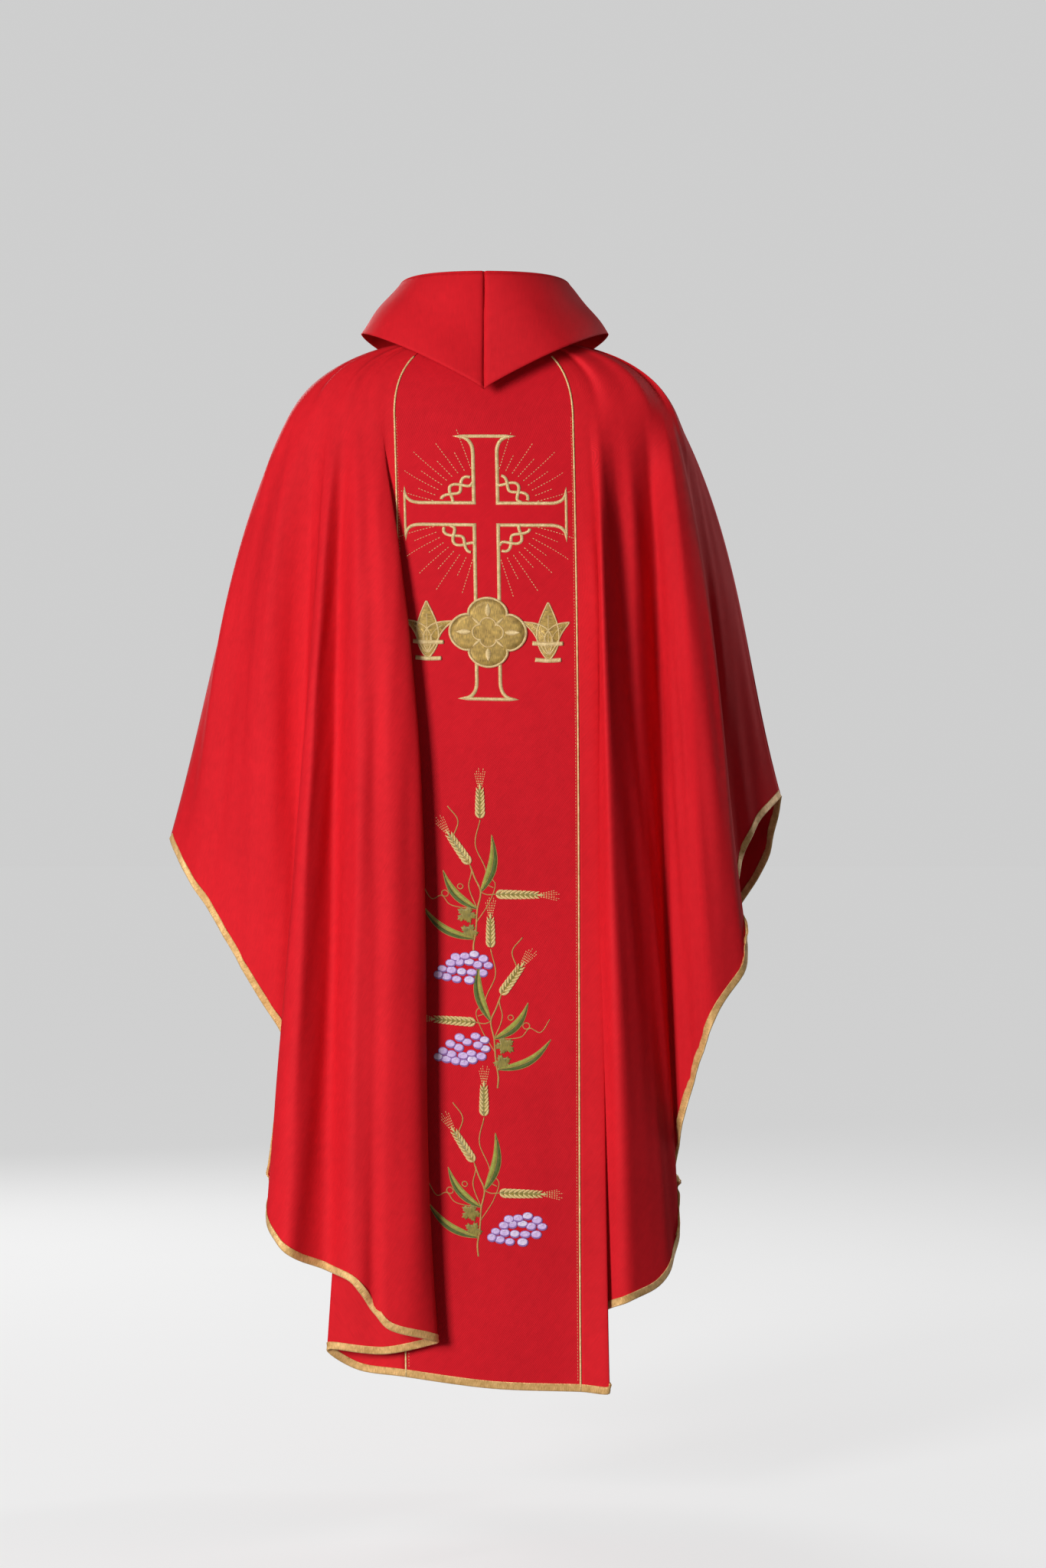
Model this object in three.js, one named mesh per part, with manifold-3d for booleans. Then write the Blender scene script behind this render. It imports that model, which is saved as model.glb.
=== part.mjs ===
// A gothic chasuble as it hangs on its wearer: millimetres, +Z up, the wearer faces -Y.
// The origin is the middle of the neck opening, where the garment is carried.
// The cloth is one draped surface between fold lines that run from the neck over the
// shoulders to the hem. Every panel, cord, binding and embroidery lies on that surface.
import * as THREE from 'three';
import { mergeVertices } from 'three/addons/utils/BufferGeometryUtils.js';
import Module from 'manifold-3d';

const wasm = await Module();
wasm.setup();

// Driving dimensions
const CLOTH = 1.6; // thickness of the panels, facing included
const SEAM_HALF = 3.1; // half of the room a piping cord takes between two panels
const SIDE_GAP = 2.2; // half of the gap between front and back along the sleeve line
const PIPING_R = 1.5;
const PIPING_FROM_ROW = 2; // the cords start under the collar
const BINDING_W = 9; // gold binding folded over the hem
const BINDING_T = 2.4;
const BINDING_GAP = 1.8; // between the cloth's edge and the binding
const THREAD_GAP = 1.3; // gap between embroidery and cloth
const THREAD_T = 1.0; // height of the embroidery
const OUTLINE = 4.5; // width of the satin outline of the cross
const YOKE_Z = -95; // level where the folds leave the shoulders
const NECK_Z = 12;
const NECK_RX = 84;
const NECK_RY = 76;
const SHOULDER_Z = -4; // height of the shoulder slope's control point
const YOKE_HALF_X = 275;
const YOKE_DEPTH = 119;
const ORPHREY_HALF = 112; // half width of the straight centre panels
const SHOULDER_ROWS = 3;
const FALL_ROWS = 10;
const COLUMNS_PER_FOLD = 2;
const ORPHREY_COLUMNS = 4; // on each side of the centre line

// A fold line: x at the yoke, largest sideways bow (a third of the way down), how far the cloth stands from the
// wearer's centre plane near the chest, at mid length and at the hem, then x and z at the hem.
const fold = (yokeX, bow, chest, middle, hem, hemX, hemZ) => ({
  yokeX,
  bow,
  depth: [chest, middle, hem],
  hemX,
  hemZ,
});

const SLEEVE_LEFT = fold(262, 10, 0, 0, 0, 414, -638);
const SLEEVE_RIGHT = fold(-256, -17, 0, 0, 0, -389, -583);
const BACK_PIPING_LEFT = fold(115, -4, 147, 158, 187, 98, -1317);
const BACK_PIPING_RIGHT = fold(-114, -3, 147, 160, 192, -123, -1335);
const BACK_CENTRE = fold(0, -3, 149, 161, 192, -12, -1331);

// From the left piping outwards: the margin turns under, comes back as a hidden pleat,
// turns again at the long sharp edge and runs out over the broad ridge to the sleeve.
const BACK_LEFT = [
  fold(123, -6, 143, 151, 168, 164, -1309),
  fold(127, -13, 146, 160, 180, 198, -1284),
  fold(131, -16, 151, 172, 197, 127, -1287),
  fold(135, -20, 157, 180, 203, 65, -1274),
  fold(139, -27, 163, 189, 213, 58, -1270),
  fold(143, -25, 169, 201, 228, 69, -1264),
  fold(149, -19, 172, 212, 241, 119, -1249),
  fold(157, -13, 167, 206, 234, 138, -1229),
  fold(166, -5, 164, 207, 237, 164, -1193),
  fold(181, 1, 131, 160, 205, 200, -1179),
  fold(191, 4, 142, 192, 228, 246, -1157),
  fold(199, -1, 135, 174, 198, 272, -1125),
  fold(206, -6, 120, 143, 160, 273, -1085),
  fold(217, 2, 98, 100, 130, 254, -902),
  fold(232, 28, 95, 108, 118, 289, -841),
  fold(245, 20, 66, 66, 70, 358, -729),
  fold(255, 24, 42, 46, 40, 393, -678),
];

// From the right piping outwards: a narrow margin folds under at its edge, a ridge comes
// back over it, then a plain slope and the wide fold with a sharp outer edge.
const BACK_RIGHT = [
  fold(-127, -9, 147, 158, 198, -160, -1336),
  fold(-133, -23, 144, 148, 160, -112, -1293),
  fold(-139, -6, 151, 161, 174, -150, -1238),
  fold(-147, 4, 160, 180, 190, -183, -1222),
  fold(-163, -4, 120, 134, 155, -227, -1202),
  fold(-188, 6, 117, 112, 110, -250, -1147),
  fold(-211, -2, 84, 82, 96, -246, -1062),
  fold(-222, -6, 100, 112, 112, -262, -975),
  fold(-232, -7, 108, 134, 146, -297, -862),
  fold(-241, -14, 88, 110, 121, -337, -795),
  fold(-246, -11, 68, 80, 88, -326, -697),
  fold(-251, -11, 44, 50, 46, -356, -618),
];

// The front hangs in plain folds, the same on both sides.
const FRONT_PIPING = fold(115, 0, 150, 162, 178, 107, -1290);
const FRONT_CENTRE = fold(0, 0, 153, 166, 182, 0, -1296);
const FRONT_SIDE = [
  fold(130, 0, 152, 168, 188, 142, -1286),
  fold(148, 0, 143, 146, 158, 166, -1272),
  fold(166, 0, 146, 182, 212, 182, -1256),
  fold(184, 0, 132, 136, 146, 198, -1222),
  fold(201, 4, 128, 162, 190, 222, -1160),
  fold(217, 4, 104, 108, 122, 242, -1035),
  fold(231, 8, 98, 126, 150, 254, -960),
  fold(242, 8, 72, 78, 86, 284, -845),
  fold(251, 8, 58, 72, 80, 330, -745),
  fold(257, 8, 32, 38, 34, 372, -668),
];

const mirrored = (line) =>
  fold(-line.yokeX, -line.bow, ...line.depth, -line.hemX, line.hemZ);

// Sides of the garment: fold lines in order across, depth measured outwards
const BACK = {
  outwards: 1,
  lines: [
    SLEEVE_LEFT,
    ...[...BACK_LEFT].reverse(),
    BACK_PIPING_LEFT,
    BACK_CENTRE,
    BACK_PIPING_RIGHT,
    ...BACK_RIGHT,
    SLEEVE_RIGHT,
  ],
  orphreyFrom: BACK_LEFT.length + 1,
};
const FRONT = {
  outwards: -1,
  lines: [
    SLEEVE_LEFT,
    ...[...FRONT_SIDE].reverse(),
    FRONT_PIPING,
    FRONT_CENTRE,
    mirrored(FRONT_PIPING),
    ...FRONT_SIDE.map(mirrored),
    SLEEVE_RIGHT,
  ],
  orphreyFrom: FRONT_SIDE.length + 1,
};

// Fall of one line: t from 0 at the yoke to 1 at the hem
function fallPoint(line, outwards, t) {
  const yokeDepth = yokeDepthAt(line);
  const [chest, middle, hem] = line.depth;
  const profile = new THREE.SplineCurve([
    new THREE.Vector2(-0.12, 0.85 * yokeDepth),
    new THREE.Vector2(0, yokeDepth),
    new THREE.Vector2(0.15, chest),
    new THREE.Vector2(0.5, middle),
    new THREE.Vector2(1, hem),
  ]);
  return new THREE.Vector3(
    THREE.MathUtils.lerp(line.yokeX, line.hemX, t) + line.bow * 6.75 * t * (1 - t) ** 2,
    outwards * depthAlong(profile, t),
    THREE.MathUtils.lerp(YOKE_Z, line.hemZ, t)
  );
}

// How far the cloth stands from the centre plane where the folds leave the shoulders
function yokeDepthAt(line) {
  if (line === SLEEVE_LEFT || line === SLEEVE_RIGHT) return 0;
  const across = Math.abs(line.yokeX) / YOKE_HALF_X;
  return YOKE_DEPTH * Math.sqrt(1 - across ** 3.2);
}

// Height of a profile at the place t along it
function depthAlong(profile, t) {
  let low = 0;
  let high = 1;
  for (let i = 0; i < 24; i += 1) {
    const mid = (low + high) / 2;
    if (profile.getPoint(mid).x < t) low = mid;
    else high = mid;
  }
  return profile.getPoint(low).y;
}

// Shoulder of one line: t from 0 at the neck to 1 at the yoke
function shoulderPoint(line, outwards, t) {
  const yoke = fallPoint(line, outwards, 0);
  const below = fallPoint(line, outwards, 0.02);
  const angle = Math.atan2(line.yokeX / YOKE_HALF_X, yoke.y / YOKE_DEPTH);
  const neck = new THREE.Vector3(
    NECK_RX * Math.sin(angle),
    NECK_RY * Math.cos(angle),
    NECK_Z
  );
  const reach = (SHOULDER_Z - YOKE_Z) / (yoke.z - below.z);
  const control = yoke.clone().addScaledVector(yoke.clone().sub(below), reach);
  control.y = THREE.MathUtils.clamp(control.y, -YOKE_DEPTH, YOKE_DEPTH);
  return new THREE.QuadraticBezierCurve3(neck, control, yoke).getPoint(t);
}

// A row is the curve across the garment at one level, v from 0 at the neck to 1 at the hem.
const SHOULDER_SHARE = SHOULDER_ROWS / (SHOULDER_ROWS + FALL_ROWS);
const rows = new Map();
function row(side, v) {
  const key = side.outwards * (v + 1);
  if (!rows.has(key)) {
    const points = side.lines.map((line) =>
      v < SHOULDER_SHARE
        ? shoulderPoint(line, side.outwards, v / SHOULDER_SHARE)
        : fallPoint(line, side.outwards, (v - SHOULDER_SHARE) / (1 - SHOULDER_SHARE))
    );
    rows.set(key, new THREE.CatmullRomCurve3(points, false, 'centripetal'));
  }
  return rows.get(key);
}

// The point at fold position u (0 at the left sleeve line) and level v
function at(side, u, v) {
  return row(side, v).getPoint(u / (side.lines.length - 1));
}

// The directions there: down along the cloth, out of the cloth, and off a level edge
function frameAt(side, u, v) {
  const last = side.lines.length - 1;
  const step = 0.02;
  const left = at(side, Math.max(0, u - step), v);
  const right = at(side, Math.min(last, u + step), v);
  const above = at(side, u, Math.max(0, v - step));
  const below = at(side, u, Math.min(1, v + step));
  const down = below.sub(above).normalize();
  const across = right.sub(left).normalize();
  const normal = new THREE.Vector3().crossVectors(across, down);
  normal.normalize().multiplyScalar(-side.outwards);
  const off = new THREE.Vector3().crossVectors(across, normal).multiplyScalar(side.outwards);
  return { down, normal, off };
}

// Fold positions of a panel's columns, drawn in from its edges by the seam allowances. A
// gathered panel has no column inside its first and last fold, which leaves room to draw in.
function columns(side, from, to, drawIn, gathered) {
  const list = [from];
  const step = gathered ? 1 / COLUMNS_PER_FOLD : 1 / ORPHREY_COLUMNS;
  for (let u = from + (gathered ? 1 : step); u < to; u += step) list.push(u);
  if (gathered) list.splice(list.findIndex((u) => u > to - 1));
  list.push(to);
  list.drawIn = drawIn;
  list.side = side;
  return list;
}

// A column's point, with the first and last column drawn in along the row
function columnPoint(list, index, v) {
  const point = at(list.side, list[index], v);
  const first = index === 0;
  if (!first && index !== list.length - 1) return point;
  const next = at(list.side, list[first ? 1 : index - 1], v);
  const length = next.distanceTo(point);
  return point.lerp(next, Math.min(0.8, list.drawIn[first ? 0 : 1] / length));
}

// A flat box of cells to bend. Its lower skin is split along the same diagonals as its upper
// skin, so that the two stay one thickness apart however the cells are twisted.
function flatBox(columnCount, rowCount) {
  const box = new THREE.BoxGeometry(1, 1, 1, columnCount, rowCount, 1);
  const { start, count } = box.groups[5];
  const index = box.index;
  for (let i = start; i < start + count; i += 6) {
    index.setX(i + 2, index.getX(i + 4));
    index.setX(i + 3, index.getX(i));
  }
  return box;
}

// A panel is a flat box with columns and rows, bent onto the draped surface.
function panelGeometry(side, list) {
  const rowCount = SHOULDER_ROWS + FALL_ROWS;
  const box = flatBox(list.length - 1, rowCount);
  const position = box.attributes.position;
  for (let i = 0; i < position.count; i += 1) {
    const index = Math.round((position.getX(i) + 0.5) * (list.length - 1));
    const v = Math.round((0.5 - position.getY(i)) * rowCount) / rowCount;
    const { normal, off } = frameAt(side, list[index], v);
    const point = columnPoint(list, index, v);
    point.addScaledVector(normal, position.getZ(i) * CLOTH);
    if (v === 1) point.addScaledVector(off, -BINDING_W - BINDING_GAP);
    position.setXYZ(i, point.x, point.y, point.z);
  }
  return outward(closed(box), side);
}

// Keeps only the positions and joins equal corners, so that the shell is closed
function closed(geometry) {
  geometry.deleteAttribute('normal');
  geometry.deleteAttribute('uv');
  geometry.clearGroups();
  return mergeVertices(geometry, 1e-4);
}

// The front's rows run the same way as the back's, so its shells come out inside out.
function outward(geometry, side) {
  if (side.outwards < 0) flip(geometry);
  return geometry;
}

function flip(geometry) {
  const index = geometry.index;
  for (let i = 0; i < index.count; i += 3) {
    const a = index.getX(i);
    index.setX(i, index.getX(i + 1));
    index.setX(i + 1, a);
  }
}

function solidOf(geometry) {
  const merged = closed(geometry);
  const mesh = new wasm.Mesh({
    numProp: 3,
    vertProperties: Float32Array.from(merged.attributes.position.array),
    triVerts: Uint32Array.from(merged.index.array),
  });
  return new wasm.Manifold(mesh);
}

function geometryOf(solid) {
  const mesh = solid.getMesh();
  const geometry = new THREE.BufferGeometry();
  geometry.setAttribute('position', new THREE.Float32BufferAttribute(mesh.vertProperties, 3));
  geometry.setIndex(Array.from(mesh.triVerts));
  return geometry;
}

const material = (name, color, roughness, metalness = 0) =>
  new THREE.MeshStandardMaterial({ name, color, roughness, metalness });
const SILK = material('red_cloth', 0xc81c2c, 0.62);
const ORPHREY = material('orphrey_cloth', 0xbd1a28, 0.6);
const COLLAR = material('collar_cloth', 0xc4202c, 0.6);
const GOLD_BRAID = material('gold_braid', 0xc79a4a, 0.42, 0.6);
const GOLD_CORD = material('gold_cord', 0xd9b566, 0.45, 0.5);
const GOLD_THREAD = material('gold_thread', 0xd8b45a, 0.4, 0.5);
const LEAF_THREAD = material('leaf_thread', 0x5f6f2a, 0.5);
const WHEAT_THREAD = material('wheat_thread', 0xdcb75a, 0.45);
const GRAPE_THREAD = material('grape_thread', 0xa88ac8, 0.5);

const chasuble = new THREE.Group();
function add(name, geometry, look, parent = chasuble) {
  geometry.computeVertexNormals();
  const mesh = new THREE.Mesh(geometry, look);
  mesh.name = name;
  parent.add(mesh);
}

// Panels, cords and binding of one side
function addSide(label, side) {
  const from = side.orphreyFrom;
  const last = side.lines.length - 1;
  const left = columns(side, 0, from, [SIDE_GAP, SEAM_HALF], true);
  const middle = columns(side, from, from + 2, [SEAM_HALF, SEAM_HALF], false);
  const right = columns(side, from + 2, last, [SEAM_HALF, SIDE_GAP], true);
  const whole = [...left, ...middle.slice(1), ...right.slice(1)];
  Object.assign(whole, { side, drawIn: [SIDE_GAP, SIDE_GAP] });
  add(`${label}_panel_left`, panelGeometry(side, left), SILK);
  add(`${label}_panel_right`, panelGeometry(side, right), SILK);
  add(`${label}_orphrey`, panelGeometry(side, middle), ORPHREY);
  add(`${label}_piping_left`, pipingGeometry(side, from), GOLD_CORD);
  add(`${label}_piping_right`, pipingGeometry(side, from + 2), GOLD_CORD);
  add(`${label}_hem_binding`, bindingGeometry(side, whole), GOLD_BRAID);
}

// A cord that follows the seam from under the collar down to the binding
function pipingGeometry(side, line) {
  const rowCount = SHOULDER_ROWS + FALL_ROWS;
  const points = [];
  for (let i = PIPING_FROM_ROW; i <= rowCount; i += 1) {
    const v = i / rowCount;
    const point = at(side, line, v);
    const { down } = frameAt(side, line, v);
    if (i === rowCount) point.addScaledVector(down, -BINDING_W - 1);
    points.push(point);
  }
  const path = new THREE.CatmullRomCurve3(points);
  const section = new THREE.Shape().absarc(0, 0, PIPING_R, 0, 2 * Math.PI);
  const options = { steps: 2 * rowCount, curveSegments: 3, bevelEnabled: false, extrudePath: path };
  return closed(new THREE.ExtrudeGeometry(section, options));
}

// The binding is a flat strip bent along the hem, just below the cloth's edge. It stands
// for the braid that is folded over that edge.
function bindingGeometry(side, list) {
  const strip = flatBox(list.length - 1, 1);
  const position = strip.attributes.position;
  for (let i = 0; i < position.count; i += 1) {
    const index = Math.round((position.getX(i) + 0.5) * (list.length - 1));
    const point = columnPoint(list, index, 1);
    const { normal, off } = frameAt(side, list[index], 1);
    point.addScaledVector(off, position.getY(i) > 0 ? -BINDING_W : 0);
    point.addScaledVector(normal, position.getZ(i) * BINDING_T);
    position.setXYZ(i, point.x, point.y, point.z);
  }
  return outward(closed(strip), side);
}

addSide('back', BACK);
addSide('front', FRONT);

// Collar: a fall that folds outwards over the neckline with a point behind and in front,
// and a stand inside it that goes down to the neckline.
const COLLAR_T = 1.6;
const COLLAR_STEPS = 12;
const COLLAR_ROWS = 4;
const COLLAR_GAP = 0.6; // half of the gap at the centre seams
const STAND_INSET = 8; // how far the stand's foot lies inside the panels' neck edge
const COLLAR_TOP = { x: 112, y: 98, back: 92, front: 52 };
const COLLAR_TIP = { back: [141, -62], front: [150, -70] };
const COLLAR_CORNER = [162, 22];

// Upper edge of the collar, angle 0 at the back and pi at the front
function collarTop(angle, inset) {
  const share = (1 - Math.cos(angle)) / 2;
  return new THREE.Vector3(
    (COLLAR_TOP.x - inset) * Math.sin(angle),
    (COLLAR_TOP.y - inset) * Math.cos(angle),
    THREE.MathUtils.lerp(COLLAR_TOP.back, COLLAR_TOP.front, share)
  );
}

// Lower edge of the fall: two nearly straight runs from each corner to the points
function collarFall(angle) {
  const behind = Math.cos(angle) >= 0;
  const [tipY, tipZ] = behind ? COLLAR_TIP.back : COLLAR_TIP.front;
  const across = Math.sin(angle);
  const size = Math.abs(across);
  const depth = Math.sqrt(Math.max(0, 1 - size ** 2.6));
  return new THREE.Vector3(
    COLLAR_CORNER[0] * across,
    (behind ? tipY : -tipY) * depth,
    THREE.MathUtils.lerp(tipZ, COLLAR_CORNER[1], size ** 0.9)
  );
}

// Lower edge of the stand, just inside the panels' neck edge
function collarFoot(angle) {
  return new THREE.Vector3(
    (NECK_RX - STAND_INSET) * Math.sin(angle),
    (NECK_RY - STAND_INSET) * Math.cos(angle),
    NECK_Z - 4
  );
}

// A bent box between two edges, one half of the collar
function collarGeometry(upper, lower, hand, bulge) {
  const box = flatBox(COLLAR_STEPS, COLLAR_ROWS);
  const position = box.attributes.position;
  const surface = (angle, t) => {
    const top = upper(angle);
    const low = lower(angle);
    const point = top.clone().lerp(low, t);
    const outwards = new THREE.Vector3(Math.sin(angle), Math.cos(angle), 0);
    return point.addScaledVector(outwards, bulge * 4 * t * (1 - t));
  };
  for (let i = 0; i < position.count; i += 1) {
    const share = position.getX(i) + 0.5;
    const margin = COLLAR_GAP / COLLAR_TOP.x;
    const angle = THREE.MathUtils.lerp(margin, Math.PI - margin, share);
    const t = 0.5 - position.getY(i);
    const point = surface(angle, t);
    const across = surface(angle + 0.01, t).sub(surface(angle - 0.01, t));
    const down = surface(angle, t + 0.01).sub(surface(angle, t - 0.01));
    const normal = across.cross(down).normalize();
    point.addScaledVector(normal, position.getZ(i) * COLLAR_T);
    if (share === 0 || share === 1) point.x = COLLAR_GAP;
    position.setXYZ(i, point.x * hand, point.y, point.z);
  }
  const geometry = closed(box);
  if (hand > 0) flip(geometry);
  return geometry;
}

for (const [hand, word] of [[1, 'left'], [-1, 'right']]) {
  const fall = collarGeometry((a) => collarTop(a, 0), collarFall, hand, 3);
  const stand = collarGeometry((a) => collarTop(a, 3.5), collarFoot, hand, -2);
  add(`collar_${word}`, fall, COLLAR);
  add(`collar_stand_${word}`, stand, COLLAR);
}

// Embroidery is drawn flat in millimetres from the middle of the orphrey at the yoke,
// x towards the wearer's right for the back and y up, then laid onto the cloth.
const flat = (shape, detail = 4) =>
  new THREE.ExtrudeGeometry(shape, { depth: THREAD_T, bevelEnabled: false, curveSegments: detail });

// Joins overlapping pieces into one motif
function joined(pieces) {
  return geometryOf(pieces.map(solidOf).reduce((a, b) => a.add(b)));
}

// The orphrey's own facets, so that the embroidery keeps an even gap to them
function onFacets(side, u, v) {
  const rowCount = SHOULDER_ROWS + FALL_ROWS;
  const column = Math.floor(u * ORPHREY_COLUMNS);
  const level = Math.floor(v * rowCount);
  const corner = (i, j) => at(side, (column + i) / ORPHREY_COLUMNS, (level + j) / rowCount);
  const across = u * ORPHREY_COLUMNS - column;
  const upper = corner(0, 0).lerp(corner(1, 0), across);
  const lower = corner(0, 1).lerp(corner(1, 1), across);
  return upper.lerp(lower, v * rowCount - level);
}

// Lays a flat motif with its origin at x0, y0; layer 1 is stitched over layer 0.
function layOn(side, geometry, x0, y0, layer = 0) {
  const position = geometry.attributes.position;
  const hemZ = side.lines[side.orphreyFrom + 1].hemZ;
  for (let i = 0; i < position.count; i += 1) {
    const t = (y0 + position.getY(i)) / (hemZ - YOKE_Z);
    const v = SHOULDER_SHARE + Math.max(0, t) * (1 - SHOULDER_SHARE);
    const across = (side.outwards * (x0 + position.getX(i))) / ORPHREY_HALF;
    const u = side.orphreyFrom + 1 + across;
    const lift = CLOTH / 2 + THREAD_GAP + position.getZ(i) + layer * (THREAD_T + THREAD_GAP);
    const point = onFacets(side, u, v).addScaledVector(frameAt(side, u, v).normal, lift);
    position.setXYZ(i, point.x, point.y, point.z);
  }
  return geometry;
}

// Outline of a cross with flared arms, grown by a margin all round. The long straight edges
// have marks a hair proud of the line, so that they can bend with the cloth.
const CROSS = { top: 172, bottom: -172, barY: 68, reach: 99, stem: 14, flare: 34, flareRun: 26 };
const MARK_STEP = 22;
const MARK_PROUD = 0.05;
function crossOutline(grow) {
  const stem = CROSS.stem + grow;
  const flare = CROSS.flare + grow;
  const run = CROSS.flareRun;
  const points = [];
  const arm = (turn, length) => {
    const out = length - run;
    const marks = [];
    for (let mark = 35; mark < out - 10; mark += MARK_STEP) marks.push(mark);
    const edge = [
      [stem, stem],
      ...marks.map((mark) => [mark, stem + MARK_PROUD]),
      [out, stem],
      [out + run * 0.45, stem + 2],
      [out + run * 0.8, stem + (flare - stem) * 0.4],
      [length + grow, flare],
      [length + grow + MARK_PROUD, flare / 3],
    ];
    const both = [...edge.map(([x, y]) => [x, -y]), ...[...edge].reverse().slice(0, -1)];
    for (const [along, across] of both) {
      const point = new THREE.Vector2(along, across).rotateAround(new THREE.Vector2(), turn);
      points.push(point.add(new THREE.Vector2(0, CROSS.barY)));
    }
  };
  arm(0, CROSS.reach);
  arm(Math.PI / 2, CROSS.top - CROSS.barY);
  arm(Math.PI, CROSS.reach);
  arm(-Math.PI / 2, CROSS.barY - CROSS.bottom);
  return points;
}

// A closed band between two outlines with the same number of corners
function band(outer, inner) {
  const ring = new THREE.TorusGeometry(2, 1, 4, outer.length);
  const { position, uv } = ring.attributes;
  for (let i = 0; i < position.count; i += 1) {
    const corner = Math.round(uv.getX(i) * outer.length) % outer.length;
    const edge = Math.round(uv.getY(i) * 4) % 4;
    const point = (edge < 2 ? outer : inner)[corner];
    position.setXYZ(i, point.x, point.y, edge === 1 || edge === 2 ? THREAD_T : 0);
  }
  return closed(ring);
}

const crossGeometry = () => band(crossOutline(OUTLINE / 2), crossOutline(-OUTLINE / 2));

// One quarter of the twisted crown, between two arms of the cross
const CROWN_R = 48;
const CROWN_TWISTS = 3;
const CROWN_STRAND = 3.4;
function crownQuarter(turn) {
  const start = Math.asin((CROSS.stem + OUTLINE / 2 + 2) / CROWN_R);
  const sweep = Math.PI / 2 - 2 * start;
  const strand = (phase) => {
    const edge = (sign) => (share) => {
      const angle = turn + start + sweep * share;
      const wave = 4 * Math.sin(phase + share * CROWN_TWISTS * Math.PI);
      const r = CROWN_R + wave + (sign * CROWN_STRAND) / 2;
      return new THREE.Vector2(r * Math.cos(angle), r * Math.sin(angle));
    };
    return ribbon(edge(-1), edge(1), 12);
  };
  return joined([strand(0), strand(Math.PI)]);
}

// A flat strip between a left and a right edge, each a function of the share along it
function ribbon(left, right, steps) {
  const strip = flatBox(steps, 1);
  const position = strip.attributes.position;
  for (let i = 0; i < position.count; i += 1) {
    const share = position.getX(i) + 0.5;
    const point = (position.getY(i) > 0 ? left : right)(share);
    position.setXYZ(i, point.x, point.y, position.getZ(i) > 0 ? THREAD_T : 0);
  }
  return closed(strip);
}

// A strip of constant width along a smooth line through hand-set points
function stroke(points, width, steps) {
  const curve = new THREE.SplineCurve(points.map((p) => new THREE.Vector2(...p)));
  const side = (sign) => (share) => {
    const tangent = curve.getTangent(share);
    const offset = new THREE.Vector2(-tangent.y, tangent.x);
    return curve.getPoint(share).addScaledVector(offset, (sign * width) / 2);
  };
  return ribbon(side(1), side(-1), steps);
}

// A leaf: pointed at both ends, curved, widest before its middle
function leaf(from, to, width, bend) {
  const start = new THREE.Vector2(...from);
  const axis = new THREE.Vector2(...to).sub(start);
  const across = new THREE.Vector2(-axis.y, axis.x).normalize();
  const side = (sign) => (share) => {
    const half = 0.5 * width * Math.sin(Math.PI * share ** 0.8) + 0.3;
    const offset = bend * Math.sin(Math.PI * share) + sign * half;
    return start.clone().addScaledVector(axis, share).addScaledVector(across, offset);
  };
  return ribbon(side(1), side(-1), 7);
}

// An ear of wheat with a toothed outline, its awns as a narrow fan at the tip
function ear(from, to, width) {
  const start = new THREE.Vector2(...from);
  const axis = new THREE.Vector2(...to).sub(start);
  const across = new THREE.Vector2(-axis.y, axis.x).normalize();
  const side = (sign) => (share) => {
    const tooth = 0.8 + 0.2 * Math.cos(share * 12 * Math.PI);
    const half = 0.5 * width * tooth * (1 - 0.6 * share ** 3) + 0.2;
    return start.clone().addScaledVector(axis, share).addScaledVector(across, sign * half);
  };
  return ribbon(side(1), side(-1), 12);
}

// A bunch of oval grapes in rows below its stalk: how many in each row, and its shift
const GRAPE = { rx: 7, ry: 5.6, step: 11, drop: 9 };
const BUNCH = [[3, 3], [5, 0], [4, -1], [2, -3]];
function grapes() {
  const ovals = [];
  BUNCH.forEach(([count, shift], level) => {
    for (let i = 0; i < count; i += 1) {
      const x = shift + (i - (count - 1) / 2) * GRAPE.step;
      const oval = new THREE.Shape();
      oval.absellipse(x, -level * GRAPE.drop, GRAPE.rx, GRAPE.ry, 0, 2 * Math.PI);
      ovals.push(flat(oval, 3));
    }
  });
  return joined(ovals);
}

// Replaces lettering: a four-lobed rosette over the stem of the cross
function quatrefoil(radius) {
  const shape = new THREE.Shape();
  const steps = 40;
  for (let i = 0; i <= steps; i += 1) {
    const angle = (i / steps) * 2 * Math.PI;
    const r = radius * (0.72 + 0.28 * Math.abs(Math.cos(2 * angle)) ** 0.7);
    const x = r * Math.cos(angle);
    const y = r * Math.sin(angle);
    if (i === 0) shape.moveTo(x, y);
    else shape.lineTo(x, y);
  }
  return shape;
}

// Replaces lettering: a palmette of three leaves tied by a band
function palmette(height) {
  const w = height / 2;
  return [
    leaf([0, -w * 0.9], [0, w], height * 0.34, 0),
    leaf([-1, -w * 0.7], [-w * 0.75, w * 0.35], height * 0.22, -height * 0.12),
    leaf([1, -w * 0.7], [w * 0.75, w * 0.35], height * 0.22, height * 0.12),
    stroke([[-w * 0.5, -w * 0.35], [w * 0.5, -w * 0.35]], height * 0.09, 1),
    stroke([[-w * 0.42, -w * 0.9], [w * 0.42, -w * 0.9]], height * 0.09, 1),
  ];
}

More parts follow.
